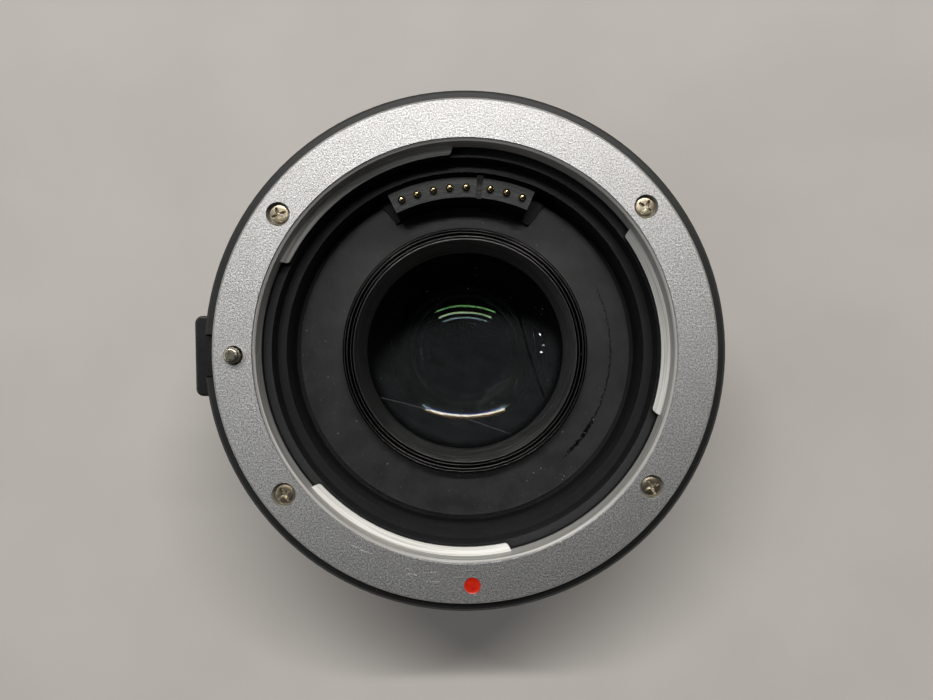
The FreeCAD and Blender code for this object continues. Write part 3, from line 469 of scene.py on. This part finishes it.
# %% [markdown]
# ## Small finishes
# The leaf springs are blackened steel, the rear shroud is moulded with a fine grain, and the board
# inside is green. Each has its own grain, since nothing real is one flat colour.

# %% Springs, plastics, board, gold and enamel
def satin(name, low, high, rough, scale, height, metallic=1.0):
    """A finish whose colour and gloss both follow one grain."""
    paint = Paint(name)
    grain = paint.noise(scale, 3.0, 0.6)
    return paint.done(paint.shader(
        Base_Color=paint.mixed(paint.ramp(grain, 0.3, 0.7), low, high), Metallic=metallic,
        Roughness=paint.ramp(grain, 0.2, 0.8) * 0.12 + rough, Normal=paint.bump(grain, height),
    ))


leaf_darks = grey(0.014, -0.05), grey(0.022, -0.05)
board_greens = (0.01, 0.07, 0.03, 1), (0.02, 0.12, 0.05, 1)
capacitor_tans = (0.3, 0.2, 0.11, 1), (0.42, 0.3, 0.18, 1)
film_ambers = (0.3, 0.13, 0.02, 1), (0.42, 0.2, 0.04, 1)
gold_yellows = (0.34, 0.24, 0.11, 1), (0.74, 0.58, 0.34, 1)
enamel_reds = (0.5, 0.014, 0.004, 1), (0.62, 0.024, 0.007, 1)
finishes = {
    "leaf_steel": satin("blackened_leaves", *leaf_darks, 0.4, 3.0, 0.01, 0.0),
    "spring_steel": satin("spring_wire", grey(0.34, 0.02), grey(0.5, 0.02), 0.25, 5.0, 0.004),
    "shroud_plastic": satin("rear_shroud", grey(0.012), grey(0.02), 0.45, 7.0, 0.01, 0.0),
    "board_green": satin("solder_resist", *board_greens, 0.3, 2.0, 0.01, 0.0),
    "chip_black": satin("chip_epoxy", grey(0.015), grey(0.03), 0.5, 9.0, 0.008, 0.0),
    "capacitor_tan": satin("ceramic", *capacitor_tans, 0.4, 6.0, 0.006, 0.0),
    "small_screws": satin("black_zinc", grey(0.05), grey(0.1, 0.05), 0.35, 5.0, 0.006),
    "flex_amber": satin("polyimide", *film_ambers, 0.2, 1.5, 0.004, 0.0),
    "contact_gold": satin("gold_plate", *gold_yellows, 0.1, 4.0, 0.02),
    "red_enamel": satin("red_enamel", *enamel_reds, 0.25, 1.2, 0.01, 0.0),
}
for slot, finish in finishes.items():
    coat(slot, finish)

# %% [markdown]
# ## Contact holder
# The holder's face is plain moulded plastic. Its sides, its foot and the slot between its two
# groups lie deeper, and they are painted near black: painted shade.

# %% Moulded holder, with painted shade below its face
HOLDER_FACE = -5.3
holder = Paint("contact_holder")
mould = holder.noise(1.0, 4.0, 0.7, holder.unrolled(0.25, 2.5))
face_above_painted_shade = holder.ramp(holder.z, HOLDER_FACE - 0.14, HOLDER_FACE - 0.06)
holder_shade = holder.mixed(holder.ramp(mould, 0.35, 0.65), grey(0.009, -0.08), grey(0.023, -0.06))
# Below the face the plastic is painted near black: painted shade.
holder_shade = holder.mixed(face_above_painted_shade, grey(0.0015), holder_shade)
coat("contact_plastic", holder.done(holder.shader(
    Base_Color=holder_shade, Roughness=0.42, Specular_IOR_Level=0.35,
    Normal=holder.bump(mould, 0.05),
)))

# %% [markdown]
# ## Surfaces from rows
# Turned pieces are made by carrying a profile round the axis. Each corner of a profile is softened
# first, because a real edge is never sharp and its thin highlight shows how a piece was made.

# %% Profiles and rows
def softened(corners, reach, steps=4):
    """Each corner of a closed profile becomes a short parabola: start (1-t)^2 + corner 2t(1-t) +
    end t^2. Start and end lie on the two sides, reach away, or under half a side where that is
    less."""
    corners = np.asarray(corners, float)
    before = np.roll(corners, 1, axis=0) - corners
    after = np.roll(corners, -1, axis=0) - corners
    lengths = np.linalg.norm(before, axis=1), np.linalg.norm(after, axis=1)
    reach = np.minimum(reach, 0.45 * np.minimum(*lengths))
    start = corners + before * (reach / lengths[0])[:, None]
    end = corners + after * (reach / lengths[1])[:, None]
    t = np.linspace(0, 1, steps + 1)[None, :, None]
    points = start[:, None] * (1 - t) ** 2 + corners[:, None] * 2 * t * (1 - t)
    points = points + end[:, None] * t ** 2
    return points.reshape(-1, 2)


def round_rows(profile, spokes):
    """Rows of points: each (radius, height) of the profile at equal turns about the axis."""
    turn = np.arange(spokes) * (2 * math.pi / spokes)
    r, z = np.asarray(profile, float).T[:, :, None]
    return np.stack([r * np.cos(turn), r * np.sin(turn), z + 0 * turn], axis=2)


def placed_rows(rows, turn, circle_r, angle, height, flip=False):
    """Rows turned in place by one angle, then stood on a circle about the axis at another. Flip
    turns them over first."""
    a, b = math.radians(turn), math.radians(angle)
    x, y, z = np.moveaxis(rows, -1, 0)
    if flip:
        y, z = -y, -z
    x, y = x * math.cos(a) - y * math.sin(a), x * math.sin(a) + y * math.cos(a)
    return np.stack([x + circle_r * math.cos(b), y + circle_r * math.sin(b), z + height], axis=-1)


# %% From rows to a mesh
def sewn(rows, closed=False):
    """Points, quads and tips. A closed profile joins its last row to its first. An open one ends in
    poles, each one point in the middle of its end row, with a fan of tips round it."""
    count, spokes = rows.shape[:2]
    step = np.arange(spokes)
    ahead = (step + 1) % spokes
    low = np.arange(count if closed else count - 1)[:, None] * spokes
    high = (low + spokes) % (count * spokes)
    quads = np.stack([low + step, low + ahead, high + ahead, high + step], axis=-1).reshape(-1, 4)
    points = rows.reshape(-1, 3)
    tips = np.zeros((0, 3), int)
    if not closed:
        first, last, end = count * spokes, count * spokes + 1, (count - 1) * spokes
        points = np.concatenate([points, rows[:1].mean(1), rows[-1:].mean(1)])
        tips = np.concatenate([
            np.stack([np.full(spokes, first), ahead, step], 1),
            np.stack([np.full(spokes, last), end + step, end + ahead], 1),
        ])
    return points, quads, tips


def enclosed(points, quads, tips):
    """The volume inside: a sixth of the sum of each triangle's triple product."""
    triangles = np.concatenate([tips, quads[:, [0, 1, 2]], quads[:, [0, 2, 3]]])
    a, b, c = np.moveaxis(points[triangles], 1, 0)
    return np.einsum("ij,ij->", a, np.cross(b, c)) / 6


def piece(name, sewn_parts, body, nodes, materials, which=None, sharp=32.0):
    """One object from parts in millimetres, their faces turned outward, in its nodes' place."""
    points, faces, volume, base = [], [], 0.0, 0
    for part_points, quads, tips in sewn_parts:
        held = enclosed(part_points, quads, tips)
        step = 1 if held > 0 else -1
        faces += (quads[:, ::step] + base).tolist() + (tips[:, ::step] + base).tolist()
        points.append(part_points)
        base += len(part_points)
        volume += abs(held)
    mesh = bpy.data.meshes.new(name)
    mesh.from_pydata((np.concatenate(points) * MM).tolist(), [], faces)
    for material in materials:
        mesh.materials.append(material)
    if which is not None:
        mesh.polygons.foreach_set("material_index", which)
    mesh.shade_smooth()
    mesh.set_sharp_from_angle(angle=math.radians(sharp))
    made = bpy.data.objects.new(name, mesh)
    bpy.context.scene.collection.objects.link(made)
    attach(made, body)
    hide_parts(*nodes)
    print(f"{name}: {len(faces)} faces, {volume:.2f} mm3")
    return made


# %% [markdown]
# ## Mount screws
# Four small screws hold each ring. Their nickel has gone warm and dull, and the cross is worn by
# drivers. A head is a height over a disc: a low dome less a cross whose arms slope to a point. Each
# screw stopped at its own turn.

# %% Screw heads as a height over a disc
def recess_height(x, y, length, width, depth):
    """How deep the cross is: along each arm it falls from the tip to the middle, and across each
    arm its wall rises in a smooth step. The deeper of the two arms counts."""
    def arm(along, across):
        slope = np.clip(1 - np.abs(along) / length, 0, 1)
        wall = np.clip((width * (0.75 + 0.45 * slope) - np.abs(across)) / 0.07, 0, 1)
        return depth * np.minimum(1, 1.7 * slope) * wall * wall * (3 - 2 * wall)

    return np.maximum(arm(x, y), arm(y, x))


def screw_rows(head_r, head_height, shank_r, shank_length, recess, rings=46, spokes=144):
    """Rows from just off the crown's middle, over the head's rim and down the shank."""
    r = np.linspace(0.012, head_r, rings)[:, None]
    turn = np.arange(spokes) * (2 * math.pi / spokes)
    x, y = r * np.cos(turn), r * np.sin(turn)
    z = -0.1 * (r / head_r) ** 6 - 0.03 * (r / head_r) ** 2 - recess_height(x, y, *recess)
    low = [(head_r, -0.3), (head_r, -head_height), (shank_r, -head_height),
           (shank_r, -head_height - shank_length), (0.012, -head_height - shank_length)]
    return np.concatenate([np.stack([x, y, z], axis=2), round_rows(low, spokes)])


def screw_metal(name, crown_z, up):
    """Dull brown nickel, with the cross rubbed bright below the crown."""
    nickel = Paint(name)
    patina = nickel.noise(1.1, 4.0, 0.65)
    worn = nickel.ramp((nickel.z - crown_z) * up, -0.16, -0.26)
    tint = nickel.mixed(nickel.ramp(patina, 0.3, 0.7), (0.3, 0.25, 0.17, 1), (0.5, 0.44, 0.33, 1))
    tint = nickel.mixed(worn * nickel.ramp(patina, 0.35, 0.55), tint, (0.85, 0.8, 0.68, 1))
    return nickel.done(nickel.shader(
        Base_Color=tint, Metallic=1.0, Roughness=nickel.ramp(patina, 0.3, 0.7) * -0.08 + 0.36,
        Normal=nickel.bump(nickel.noise(5.0, 3.0, 0.6), 0.02),
    ))


CROWN_Z, REAR_CROWN_Z = -0.4, -19.7
nickel_finish = screw_metal("worn_nickel", CROWN_Z, 1.0)
rear_nickel = screw_metal("worn_nickel_rear", REAR_CROWN_Z, -1.0)
coat("mount_screws", nickel_finish)

# %% Eight screws
CROSS = (0.98, 0.2, 0.55)
HEAD_R, HEAD_HEIGHT, SHANK_R = 1.32, 0.85, 0.8
LENS_CIRCLE_R, REAR_CIRCLE_R = 29.7, 26.2
front_turns = {37.3: -35.0, 142.7: 22.0, 217.3: 33.0, 322.7: 24.0}
screw = screw_rows(HEAD_R, HEAD_HEIGHT, SHANK_R, 6.0, CROSS)
piece("lens_ring_screws", [
    sewn(placed_rows(screw, turn, LENS_CIRCLE_R, angle, CROWN_Z))
    for angle, turn in front_turns.items()
], "adapter", ["lens_mount_screws"], [nickel_finish])
rear_turns = {45.0: 12.0, 135.0: 40.0, 225.0: -8.0, 315.0: 27.0}
screw = screw_rows(HEAD_R, HEAD_HEIGHT, SHANK_R, 4.0, CROSS)
piece("camera_ring_screws", [
    sewn(placed_rows(screw, turn, REAR_CIRCLE_R, angle, REAR_CROWN_Z, True))
    for angle, turn in rear_turns.items()
], "adapter", ["camera_mount_screws"], [rear_nickel])

# %% [markdown]
# ## Lock pin and contacts
# The lock pin and the eight plungers are small turned pieces with rounded tips that catch the lamp.
# They are carried round their own axes, with far more faces than their CAD solids.

# %% Turned pins
def rounded_tip(r, top, reach, start=0.02, steps=12):
    """A quarter ellipse from the axis to the side: the radius is r sin(t), and the height is
    top - reach (1 - cos t)."""
    t = np.linspace(start, math.pi / 2, steps)
    return np.stack([r * np.sin(t), top - reach * (1 - np.cos(t))], axis=1)


pin_metal = satin("polished_nickel", (0.42, 0.38, 0.29, 1), (0.66, 0.61, 0.5, 1), 0.2, 2.5, 0.02)
coat("lock_pin_nickel", pin_metal)
NEAR_AXIS, SLIDER_ANGLE = 0.02, 180
PIN_TOP, PIN_ROUND, PIN_FOOT = 1.2, 0.35, -5.35
shoulder = rounded_tip(PIN_ROUND, PIN_TOP, PIN_ROUND, 0.0) + np.array([0.67, 0.0])
pin_foot = [(1.02, -5.3), (0.9, PIN_FOOT), (NEAR_AXIS, PIN_FOOT)]
pin_rows = round_rows(np.concatenate([[(NEAR_AXIS, PIN_TOP)], shoulder, pin_foot]), 96)
piece("release_lock_pin", [sewn(placed_rows(pin_rows, 0, LENS_CIRCLE_R, SLIDER_ANGLE, 0))],
      "release", ["lens_lock_pin"], [pin_metal])

CONTACT_CIRCLE_R, CONTACT_STEP = 22.16, 5.8
COLLAR_TOP, COLLAR_SEAT, TAIL_END = -7.35, -7.75, -9.35
plunger = round_rows(np.concatenate([
    rounded_tip(0.5, -4.6, 0.5),
    [(0.5, COLLAR_TOP), (0.8, COLLAR_TOP), (0.8, COLLAR_SEAT)],
    [(0.3, COLLAR_SEAT), (0.3, TAIL_END), (NEAR_AXIS, TAIL_END)],
]), 64)
groups = {68.3: 3, 88.4: 5}
contact_angles = [
    start + CONTACT_STEP * i for start, count in groups.items() for i in range(count)
]
for number, angle in enumerate(contact_angles, start=1):
    piece(f"gold_plunger_{number}", [sewn(placed_rows(plunger, 0, CONTACT_CIRCLE_R, angle, 0))],
          f"contact_{number}", [f"contact_pin_{number}"],
          [finishes["contact_gold"]])

# %% [markdown]
# ## Springs
# A coil spring is a wire carried along a helix, from its foot up to the piece that it pushes up.

# %% Coil springs
SPRING_GAP, BOARD_Z = 0.05, -14.6


def coil_rows(outer_r, wire, foot, length, turns, spokes=12, steps=24):
    """Rings of the wire along a helix. A ring's points lie at the coil's radius plus w cos(s),
    and at the helix's height plus w sin(s), where w is half the wire and the height grows with
    the turn."""
    t = np.linspace(0, 1, turns * steps + 1)[:, None]
    s = np.arange(spokes) * (2 * math.pi / spokes)
    r = outer_r - wire / 2 + wire / 2 * np.cos(s)
    rise = (length - wire - 2 * SPRING_GAP) * t + wire / 2 + SPRING_GAP
    turn = 2 * math.pi * turns * t
    height = foot + rise + wire / 2 * np.sin(s)
    return np.stack([r * np.cos(turn), r * np.sin(turn), height], axis=2)


def coil_spring(name, coil, circle_r, angle, node):
    """A spring that stands on a circle about the axis."""
    made = piece(name, [sewn(placed_rows(coil_rows(*coil), 0, circle_r, angle, 0))], "adapter",
                 [node], [finishes["spring_steel"]])
    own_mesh(made)


slider_coil = (1.1, 0.3, -12.35, 6.0, 8)
plunger_coil = (0.66, 0.18, BOARD_Z, COLLAR_SEAT - BOARD_Z, 9)
coil_spring("slider_spring", slider_coil, LENS_CIRCLE_R, SLIDER_ANGLE,
            "release_spring")
for number, angle in enumerate(contact_angles, start=1):
    coil_spring(f"plunger_spring_{number}", plunger_coil, CONTACT_CIRCLE_R, angle,
                f"contact_spring_{number}")

# %% [markdown]
# ## Index dot
# The red dot is enamel dropped into a drilled recess, so it climbs the wall a little and its middle
# sinks. That meniscus gives the bright crescent at its edge.

# %% Enamel with a meniscus
DOT_R, DOT_FOOT, DOT_CIRCLE_R, DOT_ANGLE = 1.06, -0.52, 30.15, 270.6
t = np.linspace(0.02, 1, 24)
dot_face = np.stack([DOT_R * t, -0.13 + 0.09 * t ** 8], axis=1)
dot_rows = round_rows(np.concatenate([dot_face, [(DOT_R, DOT_FOOT), (NEAR_AXIS, DOT_FOOT)]]), 96)
piece("enamel_dot", [sewn(placed_rows(dot_rows, 0, DOT_CIRCLE_R, DOT_ANGLE, 0))],
      "adapter", ["index_dot"], [finishes["red_enamel"]])

# %% [markdown]
# ## Ridged collar
# The collar screws down on the front glass. Fine ridges run round its face for grip, its lip is
# bright, and a plain cone leads down to the glass. The grooves are cut in the profile before it is
# carried round, so their walls are true.

# %% Collar profile
VALLEY_Z, CREST_HALF_WIDTH = -11.3, 0.045
PLATE_SIDE_Z, GLASS_SIDE_Z, SKIRT_END_Z = -12.29, -13.5, -15.9
crests = np.array([16.05, 16.43, 16.97, 17.36])
valleys = np.array([16.24, 16.7, 17.18, 17.5])
face_points = np.stack([
    np.stack([crests - CREST_HALF_WIDTH, np.full(4, CREST_Z)], axis=1),
    np.stack([crests + CREST_HALF_WIDTH, np.full(4, CREST_Z)], axis=1),
    np.stack([valleys, np.full(4, VALLEY_Z)], axis=1),
], axis=1).reshape(-1, 2)
collar_corners = np.concatenate([
    [(14.4, GLASS_SIDE_Z), (14.4, -13.3)], face_points,
    [(17.56, CREST_Z), (17.6, -10.86), (17.6, PLATE_SIDE_Z), (17.0, PLATE_SIDE_Z)],
    [(17.0, SKIRT_END_Z), (16.4, SKIRT_END_Z), (16.4, GLASS_SIDE_Z)],
])
piece("ridged_collar", [sewn(round_rows(softened(collar_corners, 0.03), 240), True)], "adapter",
      ["front_retainer_ring"], [collar_black])

# %% [markdown]
# ## Coated glass
# A coating is so thin that only its colour and strength show, so it is written as a tint on what
# the glass mirrors. Each face has its own: the front one mirrors the lamp white, and those behind
# it green, yellow-green and blue. The last lens is given a nearly black body, as painted shade: the
# adapter stands on its camera side and no light comes up through it.

# %% Coatings
def coated(name, mirror, body):
    """Clear glass whose coating scales what it mirrors by the mirror colour."""
    glass = Paint(name)
    return glass, glass.shader(
        Base_Color=body, Transmission_Weight=1.0, IOR=1.7, Roughness=0.0, Specular_Tint=mirror
    )


def plain_coated(name, mirror, body):
    glass, surface = coated(name, mirror, body)
    return glass.done(surface)


CLEAR = (0.97, 0.98, 1.0, 1)
PAINTED_SHADE_BODY = (0.012, 0.014, 0.018, 1)
green_coat = plain_coated("green_coating", (0.105, 0.29, 0.098, 1), CLEAR)
lime_coat = plain_coated("lime_coating", (0.35, 0.58, 0.35, 1), CLEAR)
blue_coat = plain_coated("blue_coating", (0.155, 0.29, 0.33, 1), CLEAR)
# Both take a nearly black glass body: painted shade for the dark under the adapter.
dull_coat = plain_coated("dull_coating", (0.004, 0.005, 0.006, 1), PAINTED_SHADE_BODY)
inner_coat = plain_coated("inner_coating", (0.004, 0.005, 0.006, 1), PAINTED_SHADE_BODY)
coat("lens_glass", dull_coat)

# %% [markdown]
# ## The front face's film
# The front glass has been wiped with a cloth. A thin bluish haze is laid in an oval over its lower
# part, and the top is left clear and darker. Strokes, two scratches and dust lie in the haze. The
# haze is a second, dull shader that shows by a few percent through a Mix Shader, so the glass under
# it still mirrors and bends the light.

# %% Haze, strokes and scratches
def on_glass(x, y):
    """A pixel on the front glass, whose face lies near 16 mm below the flange."""
    return seen_at((x, y), -16.0)


front, front_surface = coated("front_coating", (0.45, 0.45, 0.48, 1), CLEAR)
middle = on_glass(476, 385)
oval = (((front.x - middle[0]) / 15.8) ** 2.0 + ((front.y - middle[1]) / 11.2) ** 2.0) ** 0.5
cloth = front.node(
    "ShaderNodeVectorRotate", {"rotation_type": "Z_AXIS"}, {"Vector": front.place, "Angle": 0.45}
)
cloth = front.node(
    "ShaderNodeVectorMath", {"operation": "MULTIPLY"}, {0: cloth, 1: (0.14, 1.2, 1.0)}
)
wiped = front.noise(1.0, 5.0, 0.65, cloth) * 0.5 + front.noise(0.35, 4.0, 0.6) * 0.5
haze = front.ramp(oval, 1.08, 0.8) * (front.ramp(wiped, 0.35, 0.65) * 0.06 + 0.085)
haze = haze * front.ramp(front.r, 14.4, 13.0) + 0.001
strokes = 0.0
for start, end, width, bow, strength in [
    ((514, 296), (544, 400), 0.2, 0.25, -0.09),
    ((381, 396), (432, 410), 0.12, 0.0, 0.3),
    ((466, 418), (512, 433), 0.13, 0.0, 0.22),
    ((478, 409), (512, 378), 0.22, -0.75, 0.1),
    ((484, 404), (506, 384), 0.15, -0.2, 0.08),
    ((514, 394), (517, 378), 0.16, 0.0, 0.06),
]:
    stroke = front.stroke(on_glass(*start), on_glass(*end), width, bow)
    strokes = strokes + stroke * strength
film_mask = (haze + strokes + front.dust(0.7)).math("MAXIMUM", 0.0)
film = front.shader(Base_Color=(0.62, 0.72, 0.8, 1), Roughness=0.7, Specular_IOR_Level=0.2)
wiped_glass = front.node("ShaderNodeMixShader", {}, {0: film_mask, 1: front_surface, 2: film})
front_coat = front.done(wiped_glass)

# %% [markdown]
# ## Lenses
# Each lens is two spherical faces carried round the axis. A face's height above its middle is
# R - sqrt(R^2 - r^2), with the sign of R. The faces are finely divided, because the lamp's arcs are
# mirrored by them, and each face gets its own coating. The three faces behind the front one show
# only by what they mirror, so their radii are those that put the green, yellow-green and blue arcs
# in their places. They are not the CAD's.

# %% Lens surfaces
def face_height(vertex, radius, r):
    """The vertex, plus the radius less the root of radius^2 - r^2, with the radius's sign."""
    return vertex + np.sign(radius) * (abs(radius) - np.sqrt(radius * radius - r * r))


def glass_lens(name, faces, edge_r, edge_low, nodes, coats, spokes=192, rings=56):
    """Rows over the front face, down the edge and back under the rear face. A face is its vertex
    height, its signed radius and how far out it is polished. The edge ends at edge_low."""
    above, below = faces
    share = np.sin(np.linspace(0.01, math.pi / 2, rings))
    top_r, low_r = share * above[2], share[::-1] * below[2]
    top = np.stack([top_r, face_height(above[0], above[1], top_r)], axis=1)
    low = np.stack([low_r, face_height(below[0], below[1], low_r)], axis=1)
    rim = [(edge_r, top[-1, 1]), (edge_r, edge_low), (below[2] + 0.02, edge_low)]
    rows = round_rows(np.concatenate([top, rim, low]), spokes)
    on_back = np.arange(len(rows) - 1) >= rings - 1
    which = np.concatenate([np.repeat(on_back, spokes), np.repeat([False, True], spokes)])
    which = which.astype(np.int32)
    return piece(name, [sewn(rows)], "adapter", nodes, coats, which, sharp=15.0)


glass_pieces = [
    glass_lens("front_glass", [(-16.997, 31.4, 14.4), (-18.297, -253.7, 14.4)], 15.3, -18.7,
               ["front_lens"], [front_coat, green_coat]),
    glass_lens("second_glass", [(-18.597, -103.9, 12.2), (-21.997, -87.0, 12.15)], 12.8, -19.87,
               ["second_lens"], [lime_coat, blue_coat]),
    glass_lens("cemented_doublet", [(-22.297, -80.0, 12.2), (-25.597, -200.0, 12.2)], 12.8, -25.9,
               ["doublet_front_lens", "doublet_rear_lens"], [inner_coat, dull_coat]),
]

# %% [markdown]
# ## What the glass mirrors
# The front arc asks for a tube 31 degrees from the vertical, bent a little more than a straight
# one, though the shadows ask for 38. Both are kept: the room's tube throws the shadows, and the
# glass sees stand-ins. A real coating mirrors little of a very bright tube, which few light paths
# meet, so the arcs would come out ragged. The stand-ins are dimmer and the coatings stronger. One
# set is for the front face and one for the faces behind it. The rear set hangs nearer, because a
# path stops at the first lamp it meets, seen or unseen, and at one distance the two sets hide each
# other. Three spots at nine o'clock leave the dots.

# %% Lamps for the glass alone
def linked(lamps, state):
    """Lets the lamps light the glass alone, or everything else."""
    receivers = bpy.data.collections.new(state)
    for glass_piece in glass_pieces:
        receivers.objects.link(glass_piece)
    for entry in receivers.collection_objects:
        entry.light_linking.link_state = state
    for made in lamps:
        made.light_linking.receiver_collection = receivers


ARC_ANGLE, FRONT_AWAY, REAR_AWAY = 88.8, 1.5, 1.4
SPOTS = [(190.6, 36.4, 0.028), (182.5, 37.2, 0.018), (177.7, 36.2, 0.028)]


def bowed_tube(name, tilt, away, width, radiance, tint, spread, bow, count=5):
    """Straight pieces end to end. The tilt grows with the square of the angle from the middle."""
    ends = np.linspace(-1, 1, count + 1)
    places = [towards(ARC_ANGLE + spread * t, tilt + bow * t * t, away) for t in ends]
    made = []
    for number, (first, last) in enumerate(zip(places, places[1:])):
        middle, along = (first + last) / 2, last - first
        made.append(lamp(f"{name}_{number}", middle, along, along.length, width, radiance, tint))
    return made


def stand_ins(name, radiance, away, width, spread, bow):
    """The tube with a cool and a warm edge, and three spots."""
    made = []
    for part, tilt, part_width, share, tint in [
        ("tube", 31.0, width, 1.0, (1.0, 0.9, 0.7)),
        ("cool_edge", 30.1, 0.02, 0.11, (0.02, 0.08, 1.0)),
        ("warm_edge", 31.9, 0.018, 0.13, (1.0, 0.55, 0.2)),
    ]:
        bright = radiance * share
        made += bowed_tube(f"{name}_{part}", tilt, away, part_width, bright, tint, spread, bow)
    for angle, tilt, size in SPOTS:
        place = towards(angle, tilt, away)
        made.append(lamp(name + "_spot", place, SIDE, size, size, radiance * 2, (1, 1, 1)))
    return made


front_lamps = stand_ins("front", 27.0, FRONT_AWAY, 0.022, 34.0, 2.5)
rear_lamps = stand_ins("rear", 14.0, REAR_AWAY, 0.04, 38.0, 4.0)
for made in front_lamps + bench_lamps:
    made.visible_transmission = False
for made in rear_lamps:
    made.visible_diffuse = made.visible_glossy = False
linked(front_lamps, "INCLUDE")
linked(bench_lamps, "EXCLUDE")
sky.cycles_visibility.transmission = False
print("lamps", len(front_lamps + rear_lamps + bench_lamps))

# %% [markdown]
# ## Floor
# A plain pale surface under the adapter's barrel, large enough to run out of every view.

# %% Pale floor
sheet_paint = Paint("pale_floor")
mottle = sheet_paint.ramp(sheet_paint.noise(0.04, 3.0), 0.3, 0.7)
pale, paler = (0.54, 0.51, 0.48, 1), (0.57, 0.54, 0.51, 1)
floor_finish = sheet_paint.done(sheet_paint.shader(
    Base_Color=sheet_paint.mixed(mottle, pale, paler), Roughness=0.6, Specular_IOR_Level=0.2,
))
FLOOR_DROP, half = 0.02, 1.5
low_z = cad_box[0][2] - FLOOR_DROP * MM
corners = [(-half, -half, low_z), (half, -half, low_z), (half, half, low_z), (-half, half, low_z)]
sheet = bpy.data.meshes.new("floor")
sheet.from_pydata(corners, [], [(0, 1, 2, 3)])
sheet.materials.append(floor_finish)
floor = bpy.data.objects.new("floor", sheet)
bpy.context.scene.collection.objects.link(floor)
